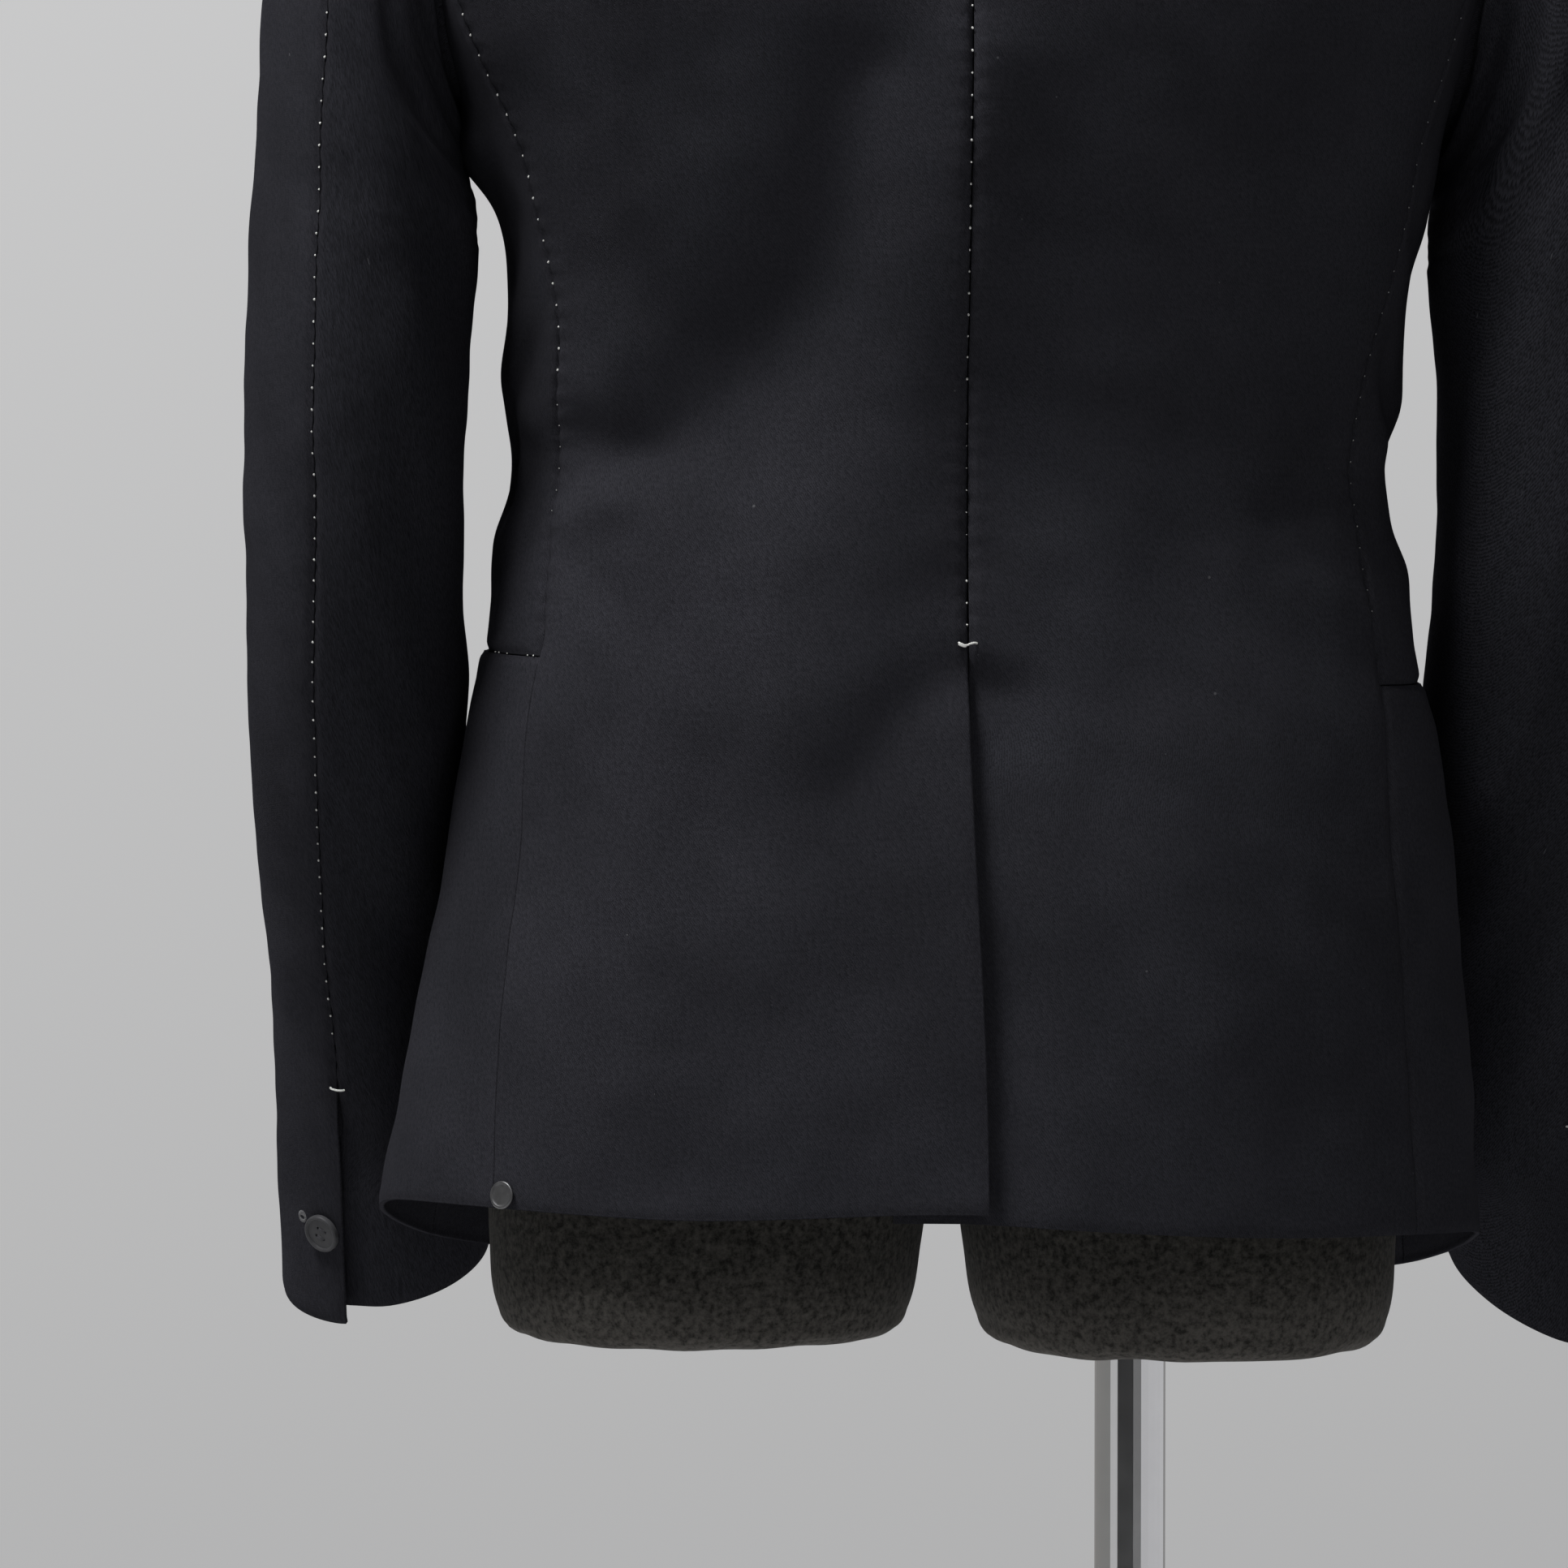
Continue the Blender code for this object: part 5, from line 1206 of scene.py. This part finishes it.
def onBody(side, turn, z, out):
    # a place on the dressed body, and its normal; the height is before the hang
    plain, normal = plainSkin(side, turn, z), skinNormal(side, turn, z)
    return hang(plain + normal * (bodyFolds(side, turn, z, plain[..., 0]) + out)), normal


def onBack(side, x, z, out):
    z = np.float64(z)
    return onBody(side, turnAt(side, x, z), z, out)


def onFront(z, x, out):
    z = np.float64(z)
    return onBody(1, 180.0 - turnAt(1, x, z), z, out)


# the mouth of the left hip pocket keeps a few loose stitches
pocketTop = body["sideLeft"]["points"][0]
pocketOut = body["sideLeft"]["normal"][0]
pocketSpots = alongLine(pocketTop + pocketOut * 0.0006, pocketOut, 0.0036, 0.004, 0.075)
pocketKept = [0, 1, 5, 7, 8]
sewStitches("pocketStitches", [tuple(np.asarray(v)[pocketKept] for v in pocketSpots)],
            sewing["pocketSize"], whiteThread, "cloth")

# hand-sewn tacks: at the top of the back vent and at the top of the left cuff's vent
ventTack = [(0.0038, 1.0240, 0.0002), (0.0034, 1.0238, 0.0009), (0.0020, 1.0229, 0.0012),
            (0.0006, 1.0231, 0.0012), (-0.0010, 1.0240, 0.0012), (-0.0026, 1.0243, 0.0009),
            (-0.0031, 1.0242, 0.0002)]
tackLines = [[onBack(1, x, z, out)[0] for x, z, out in ventTack],
             [onBack(1, x + 0.0005, z - 0.0004, out - 0.0001)[0] for x, z, out in ventTack[1:4]]]


def onSleeve(side, angle, t, out):
    normal = sleeveNormal(side, np.float64(angle), np.float64(t))
    return hang(sleevePoint(side, angle, t) + normal * out), normal


ventPart = tubePart(sleeveCut["tackZ"])
cuffTack = [(72.2, 0.0002), (71.6, 0.0009), (69.4, 0.0012), (67.2, 0.0012), (64.9, 0.0010), (64.2, 0.0002)]
for side in (1, -1):
    tackLines.append([onSleeve(side, a, ventPart - 0.003, out)[0] for a, out in cuffTack])
threadTube("handTacks", tackLines, sewing["tackThread"], whiteThread, "cloth")
print("hand sewing built")


# Buttons: real holes, a raised rim, crossed thread and the seat it makes
buttonCut = {
    "cuffWidth": 0.0156, "frontWidth": 0.0210, "frontHeights": (1.098, 0.998), "thick": 0.0028,
    "hole": 0.105, "holeOut": 0.235, "plate": 0.20, "plateLift": 0.42, "plateRound": 0.035,
    "plateEdge": 0.955, "rimSides": 64, "sharp": 50, "thread": 0.042, "threadSpread": 0.035,
}


def buttonMesh(name, width):
    r, k = width / 2, buttonCut
    curve = bpy.data.curves.new(name + "Plate", "CURVE")
    curve.dimensions = "2D"
    curve.fill_mode = "BOTH"
    curve.extrude = k["thick"] * k["plate"]
    curve.bevel_depth = r * k["plateRound"]
    curve.bevel_resolution = 3
    rings = [(0.0, 0.0, r * k["plateEdge"], 48)]
    q = r * k["holeOut"]
    rings += [(q * a, q * b, r * k["hole"], 14) for a in (-1, 1) for b in (-1, 1)]
    for x, y, size, count in rings:
        spline = curve.splines.new("POLY")
        spline.points.add(count - 1)
        for i, point in enumerate(spline.points):
            point.co = (x + size * cos(2 * pi * i / count), y + size * sin(2 * pi * i / count), 0.0, 1.0)
        spline.use_cyclic_u = True
    plate = bpy.data.objects.new(name + "Plate", curve)
    bpy.context.scene.collection.objects.link(plate)
    bpy.context.view_layer.update()
    mesh = bpy.data.meshes.new_from_object(plate.evaluated_get(bpy.context.evaluated_depsgraph_get()))
    bpy.data.objects.remove(plate)
    work = bmesh.new()
    work.from_mesh(mesh)
    for v in work.verts:
        v.co.z += k["thick"] * k["plateLift"]
    h = k["thick"]
    profile = [(0.74, 0.52), (0.79, 0.74), (0.85, 0.93), (0.91, 1.0), (0.965, 0.93), (1.0, 0.72),
               (0.995, 0.52), (0.95, 0.28), (0.84, 0.10), (0.70, 0.05), (0.66, 0.30)]
    loops = []
    for i in range(k["rimSides"]):
        a = 2 * pi * i / k["rimSides"]
        loops.append([work.verts.new((r * p * cos(a), r * p * sin(a), h * q)) for p, q in profile])
    for one, two in zip(loops, loops[1:] + loops[:1]):
        for j in range(len(profile)):
            n = (j + 1) % len(profile)
            work.faces.new((one[j], two[j], two[n], one[n]))
    bmesh.ops.recalc_face_normals(work, faces=work.faces)
    work.to_mesh(mesh)
    work.free()
    mesh.shade_smooth()
    mesh.set_sharp_from_angle(angle=radians(k["sharp"]))
    return mesh


def placeButton(name, width, spot, normal, node, tilt):
    piece = newPiece(name, buttonMesh(name, width), hornButton)
    out, up = Vector(normal), Vector((0, 0, 1))
    upward = (up - out * out.dot(up)).normalized()
    turned = Matrix((out.cross(upward) * -1.0, upward, out)).transposed().to_4x4()
    piece.matrix_world = Matrix.Translation(Vector(spot)) @ turned @ Matrix.Rotation(radians(tilt), 4, "Z")
    r, h = width / 2, buttonCut["thick"]
    q = r * buttonCut["holeOut"]
    lines = []
    for strand in range(4):
        slip = (strand - 1.5) * r * buttonCut["threadSpread"]
        for sideX in (-1, 1):
            x = sideX * q + slip
            lines.append([(x, -q, h * 0.05), (x, -q, h * 0.62), (sideX * q * 0.9 + slip, 0.0, h * 0.86),
                          (x, q, h * 0.62), (x, q, h * 0.05)])
    shank = np.arange(0.0, 9.0, 0.6)
    lines.append([(r * 0.10 * cos(a), r * 0.10 * sin(a), h * (0.02 - 0.05 * a)) for a in shank])
    world = piece.matrix_world.copy()
    placed = [[tuple(world @ Vector(p)) for p in line] for line in lines]
    threadTube(name + "Thread", placed, r * buttonCut["thread"], darkThread, "button")
    return finishPiece(piece, "button", node)


cuffPart = tubePart(sleeveCut["buttonZ"])
for side, word in ((1, "Left"), (-1, "Right")):
    spot, normal = onSleeve(side, sleeveCut["buttonAngle"], cuffPart, 0.0008)
    node = "cuff_button_" + word.lower()
    placeButton("cuffButton" + word, buttonCut["cuffWidth"], spot, normal, node, 63.0)


for number, z in enumerate(buttonCut["frontHeights"], 1):
    spot, normal = onFront(z, 0.0001, 0.0009)
    placeButton(f"frontButton{number}", buttonCut["frontWidth"], spot, normal, f"front_button_{number}", 6.0)


def buttonhole(name, place, length, width, eye, count, radius, material):
    # a worked slit with a round eye: close stitches that run out from its edge
    lines = []
    for i in range(count):
        a = 2 * pi * i / count
        x = cos(a)
        y = sin(a)
        wide = width / 2 + eye * max(0.0, -x) ** 6
        inner = (x * length / 2, y * wide * 0.45)
        outer = (x * (length / 2 + 0.0011), y * (wide + 0.0009))
        lines.append([place(*inner, -0.0002), place(*inner, 0.0004),
                      place(*outer, 0.0004), place(*outer, -0.0002)])
    return threadTube(name, lines, radius, material, "cloth", 2)


for number, z in enumerate(buttonCut["frontHeights"], 1):
    buttonhole(f"frontButtonhole{number}", lambda a, b, out, z=z: onFront(z + b, 0.0045 - a, out)[0],
               0.022, 0.0018, 0.0012, 84, 0.00019, darkThread)


def eyeletPlace(side):
    # round the cuff button's own inner side, towards the vent's edge
    k = sleeveCut

    def place(a, b, out):
        angle = k["eyeletAngle"] + a / k["angleRun"]
        return onSleeve(side, angle, cuffPart - 0.0065 + b / k["tubeRun"], out)[0]
    return place


for side, word in ((1, "Left"), (-1, "Right")):
    buttonhole("cuffEyelet" + word, eyeletPlace(side), 0.0034, 0.0030, 0.0, 26, 0.00026, greyThread)
print("buttons and buttonholes built")

# The rivet: a domed rim round a plain satin face
rivetCut = {"width": 0.0106, "thick": 0.0012, "x": 0.1725, "z": 0.8110, "sides": 56}


def makeRivet():
    k = rivetCut
    r, h = k["width"] / 2, k["thick"]
    profile = [(0.30, 0.71), (0.62, 0.72), (0.74, 0.74), (0.80, 0.90), (0.87, 1.0), (0.94, 0.92),
               (0.99, 0.62), (0.985, 0.25), (0.93, 0.0)]
    work = bmesh.new()
    rings = []
    turns = [2 * pi * i / k["sides"] for i in range(k["sides"])]
    for p, q in profile:
        rings.append([work.verts.new((r * p * cos(a), r * p * sin(a), h * q)) for a in turns])
    work.faces.new(rings[0])
    for one, two in zip(rings, rings[1:]):
        for i in range(k["sides"]):
            n = (i + 1) % k["sides"]
            work.faces.new((one[n], one[i], two[i], two[n]))
    work.faces.new(rings[-1][::-1])
    bmesh.ops.recalc_face_normals(work, faces=work.faces)
    mesh = bpy.data.meshes.new("hemRivet")
    work.to_mesh(mesh)
    work.free()
    mesh.shade_smooth()
    piece = newPiece("hemRivet", mesh, rivetMetal)
    spot, normal = onBack(1, k["x"], k["z"], 0.0011)
    facing = Vector(normal).to_track_quat("Z", "Y").to_matrix().to_4x4()
    piece.matrix_world = Matrix.Translation(Vector(spot)) @ facing
    finishPiece(piece, "rivet", "rivet")


makeRivet()

# The dress form: smooth felt shells over its solids
formCut = {
    "x": 0.003,
    "torso": {
        "z": [0.838, 0.880, 0.930, 0.980, 1.030, 1.080, 1.130, 1.180, 1.230, 1.280,
              1.330, 1.370, 1.400, 1.418, 1.430, 1.443, 1.455, 1.470, 1.500, 1.530],
        "half": [0.1740, 0.1740, 0.1700, 0.1620, 0.1520, 0.1450, 0.1480, 0.1560, 0.1660, 0.1760,
                 0.1840, 0.1880, 0.1900, 0.1880, 0.1560, 0.1180, 0.0860, 0.0660, 0.0580, 0.0560],
        "back": [0.1100, 0.1160, 0.1150, 0.1020, 0.0880, 0.0800, 0.0860, 0.0980, 0.1080, 0.1120,
                 0.1080, 0.0960, 0.0820, 0.0720, 0.0660, 0.0620, 0.0600, 0.0590, 0.0580, 0.0560],
        "front": [0.0850, 0.0900, 0.0960, 0.0980, 0.0980, 0.0990, 0.1040, 0.1100, 0.1140, 0.1130,
                  0.1030, 0.0880, 0.0700, 0.0560, 0.0480, 0.0440, 0.0440, 0.0480, 0.0500, 0.0500],
        "square": [2.60, 2.50, 2.35, 2.25, 2.20, 2.20, 2.25, 2.35, 2.45, 2.55,
                   2.60, 2.50, 2.20, 1.90, 1.70, 1.75, 1.90, 2.00, 2.00, 2.00],
    },
    "thigh": {
        "part": [0.000, 0.012, 0.035, 0.130, 0.440, 1.000],
        "inner": [0.0300, 0.0235, 0.0185, 0.0135, 0.0085, 0.0030],
        "outer": [0.1550, 0.1615, 0.1662, 0.1710, 0.1740, 0.1738],
        "deep": [0.0700, 0.0762, 0.0808, 0.0850, 0.0880, 0.0930],
    },
    "thighFoot": {1: 0.7575, -1: 0.7520}, "thighTop": 0.8377, "thighY": 0.013,
}


def ovalRows(z, middle, half, back, front, square, count, y=0.0):
    a = np.linspace(0.0, 2 * pi, count, endpoint=False)[None, :]
    s, c = np.sin(a), np.cos(a)
    power = 2.0 / square
    depth = np.where(c >= 0, back, front)
    return vec(middle + np.copysign(half * np.abs(s) ** power, s),
               y + np.copysign(depth * np.abs(c) ** power, c), z + 0 * a)


def makeForm():
    k = formCut
    table = k["torso"]
    z = np.linspace(table["z"][0], table["z"][-1], 150)[:, None]
    rows = ovalRows(z, k["x"], *(column(table, name, z) for name in ("half", "back", "front", "square")), 120)
    caps = [rows[:1] * (1 - s) + rows[:1].mean(axis=1, keepdims=True) * s for s in (0.999, 0.6, 0.2)]
    crown = [rows[-1:] * (1 - s) + rows[-1:].mean(axis=1, keepdims=True) * s for s in (0.2, 0.6, 0.999)]
    rows = np.vstack([*caps, rows, *crown])
    across, up = runs(rows)
    torso = gridMesh("formTorso", rows, across, up, feltLook, flip=True, closed=True)
    finishPiece(torso, "form_cloth", "form_torso")
    for side, word in ((1, "Left"), (-1, "Right")):
        table = k["thigh"]
        part = np.concatenate([np.linspace(0.0, 0.14, 22), np.linspace(0.16, 1.0, 26)])[:, None]
        inner, outer, deep = (column(table, name, part) for name in ("inner", "outer", "deep"))
        z = mix(k["thighFoot"][side], k["thighTop"], part)
        rows = ovalRows(z, k["x"] + side * (inner + outer) / 2, (outer - inner) / 2, deep, deep,
                        2.3 + 0 * part, 110, k["thighY"])
        foot = rows[:1]
        centre = foot.mean(axis=1, keepdims=True)
        bottoms = [centre + (foot - centre) * s for s in (0.002, 0.35, 0.7, 0.90, 0.965)]
        last = centre * 0 + rows[-1:].mean(axis=1, keepdims=True) * 0.6 + rows[-1:] * 0.4
        rows = np.vstack([*bottoms, rows, last])
        about = np.arctan2(rows[..., 1], rows[..., 0] - foot[..., 0].mean()) * 0.09
        fuzz = 0.0005 * uneven(about, rows[..., 2], 0.05, 5.0 + side)
        rows[..., 2] += fuzz * (rows[..., 2] < k["thighFoot"][side] + 0.004)
        across, up = runs(rows)
        thigh = gridMesh("formThigh" + word, rows, across, up, feltLook, flip=True, closed=True)
        finishPiece(thigh, "form_cloth", "form_thigh_" + word.lower())


makeForm()
for node in ("form_neck_cap", "stand_pole", "stand_socket", "stand_plate"):
    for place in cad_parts[node].material_slots:
        place.material = chromePlate
print("form and stand dressed")

# Every piece of cloth with the size that it was cut to
words = ("Left", "Right")
sheets = [(body[kind + word], "form_torso") for kind in ("back", "side", "pocket", "front") for word in words]
sheets += [(lapels[word], "frontLeftPanel") for word in words] + [(collar, "form_torso")]
sheets += [(sleeves[kind + word], "form_torso") for kind in ("top", "under") for word in words]

# Floor, light and camera
stageSetting = {
    "floor": (0.72, 0.72, 0.72), "skyTurn": -270.0, "mirrorTurn": -90.0,
    # the sky bands and the sky's rise with height paint light onto the backdrop: paler above and on the
    # wearer's left
    "skyHeights": (-0.14, 0.05), "skyRise": (0.97, 1.24),
    "skyBands": [(0.0, (0.47, 0.47, 0.475)), (0.46, (0.43, 0.43, 0.433)),
                 (0.54, (0.50, 0.50, 0.503)), (1.0, (0.47, 0.47, 0.475))],
    "mirrorBands": [(0.0, (0.30, 0.29, 0.28)), (0.30, (0.26, 0.26, 0.25)), (0.33, (0.62, 0.62, 0.62)),
                    (0.365, (0.56, 0.56, 0.56)), (0.385, (0.05, 0.05, 0.05)), (0.44, (0.025, 0.025, 0.025)),
                    (0.52, (0.06, 0.06, 0.06)), (0.54, (0.20, 0.20, 0.20)), (0.60, (0.26, 0.26, 0.26)),
                    (0.62, (0.64, 0.64, 0.65)), (0.84, (0.66, 0.66, 0.67)), (0.87, (0.30, 0.30, 0.30)),
                    (1.0, (0.30, 0.29, 0.28))],
    "key": (1.40, 0.95, 3.90, 1.1, 205.0), "fill": (-0.9, 2.8, 3.0, 2.0, 26.0),
    "front": (0.1, -3.0, 2.4, 1.8, 130.0), "rim": (2.6, -0.4, 1.4, 1.4, 3.0), "ambient": 0.04,
    "lightAim": (0.0, 0.0, 1.05),
}
bpy.ops.mesh.primitive_circle_add(vertices=96, radius=3.4, fill_type="NGON", location=(0, 0, -0.0005))
floor = bpy.context.object
floor.name = "studioFloor"
floorLook, _, floorShader = newMaterial("studioFloor")
floorShader.inputs["Base Color"].default_value = (*stageSetting["floor"], 1.0)
floorShader.inputs["Roughness"].default_value = 0.8
floor.data.materials.append(floorLook)

world = bpy.data.worlds.new("studio")
bpy.context.scene.world = world
world.use_nodes = True
tree = world.node_tree
tree.nodes.clear()
output = tree.nodes.new("ShaderNodeOutputWorld")
seen, lit, mirror = (tree.nodes.new("ShaderNodeBackground") for _ in range(3))
choose, glossy = (tree.nodes.new("ShaderNodeMixShader") for _ in range(2))
rays = tree.nodes.new("ShaderNodeLightPath")
lit.inputs[0].default_value = (0.9, 0.92, 1.0, 1.0)
lit.inputs[1].default_value = stageSetting["ambient"]


def skyRamp(turned, stops):
    # colours by the direction round the vertical axis, from the camera's own side and back to it
    place = tree.nodes.new("ShaderNodeTexCoord")
    spin = tree.nodes.new("ShaderNodeMapping")
    spin.inputs["Rotation"].default_value = (0.0, 0.0, turned)
    around = tree.nodes.new("ShaderNodeTexGradient")
    around.gradient_type = "RADIAL"
    ramp = tree.nodes.new("ShaderNodeValToRGB")
    tree.links.new(place.outputs["Generated"], spin.inputs["Vector"])
    tree.links.new(spin.outputs[0], around.inputs["Vector"])
    tree.links.new(around.outputs["Fac"], ramp.inputs["Fac"])
    marks = ramp.color_ramp.elements
    while len(marks) < len(stops):
        marks.new(0.5)
    for mark, (spot, shade) in zip(marks, stops):
        mark.position = spot
        mark.color = (*shade, 1.0)
    return ramp.outputs["Color"]


# the backdrop is paler above and on the wearer's left, painted light falling across it; the chrome mirrors
# bright and dark studio walls
tree.links.new(skyRamp(radians(stageSetting["skyTurn"]), stageSetting["skyBands"]), seen.inputs[0])
direction = tree.nodes.new("ShaderNodeTexCoord")
upward = tree.nodes.new("ShaderNodeSeparateXYZ")
tree.links.new(direction.outputs["Generated"], upward.inputs[0])
backdropLightFall = rangeNode(tree, upward.outputs["Z"], stageSetting["skyHeights"], stageSetting["skyRise"])
tree.links.new(backdropLightFall, seen.inputs[1])
tree.links.new(skyRamp(radians(stageSetting["mirrorTurn"]), stageSetting["mirrorBands"]), mirror.inputs[0])
joins = [
    (rays.outputs["Is Glossy Ray"], glossy, 0), (lit.outputs[0], glossy, 1), (mirror.outputs[0], glossy, 2),
    (rays.outputs["Is Camera Ray"], choose, 0), (glossy.outputs[0], choose, 1), (seen.outputs[0], choose, 2),
    (choose.outputs[0], output, 0),
]
for value, node, number in joins:
    tree.links.new(value, node.inputs[number])

for name in ("key", "fill", "front", "rim"):
    x, y, z, size, power = stageSetting[name]
    data = bpy.data.lights.new(name + "Light", "AREA")
    data.shape = "DISK"
    data.size = size
    data.energy = power
    lamp = bpy.data.objects.new(name + "Light", data)
    bpy.context.scene.collection.objects.link(lamp)
    lamp.location = (x, y, z)
    toAim = Vector(stageSetting["lightAim"]) - lamp.location
    lamp.rotation_euler = toAim.to_track_quat("-Z", "Y").to_euler()

cameraSetting = {
    "azimuth": 177.0, "elevation": 2.5, "distance": 3.2, "aim": (0.0632, 0.0, 0.967),
    "frame": 1932 / 3200.0, "sensor": 36.0,
}
azimuth, elevation = radians(cameraSetting["azimuth"]), radians(cameraSetting["elevation"])
backward = Vector((sin(azimuth) * cos(elevation), -cos(azimuth) * cos(elevation), sin(elevation)))
lensData = bpy.data.cameras.new("photoCamera")
lensData.sensor_width = cameraSetting["sensor"]
lensData.lens = cameraSetting["sensor"] * cameraSetting["distance"] / cameraSetting["frame"]
camera = bpy.data.objects.new("photoCamera", lensData)
bpy.context.scene.collection.objects.link(camera)
camera.location = Vector(cameraSetting["aim"]) + backward * cameraSetting["distance"]
camera.rotation_euler = backward.to_track_quat("Z", "Y").to_euler()
bpy.context.scene.camera = camera
bpy.context.scene.view_settings.view_transform = "Standard"

bpy.context.view_layer.update()
print("stage set")
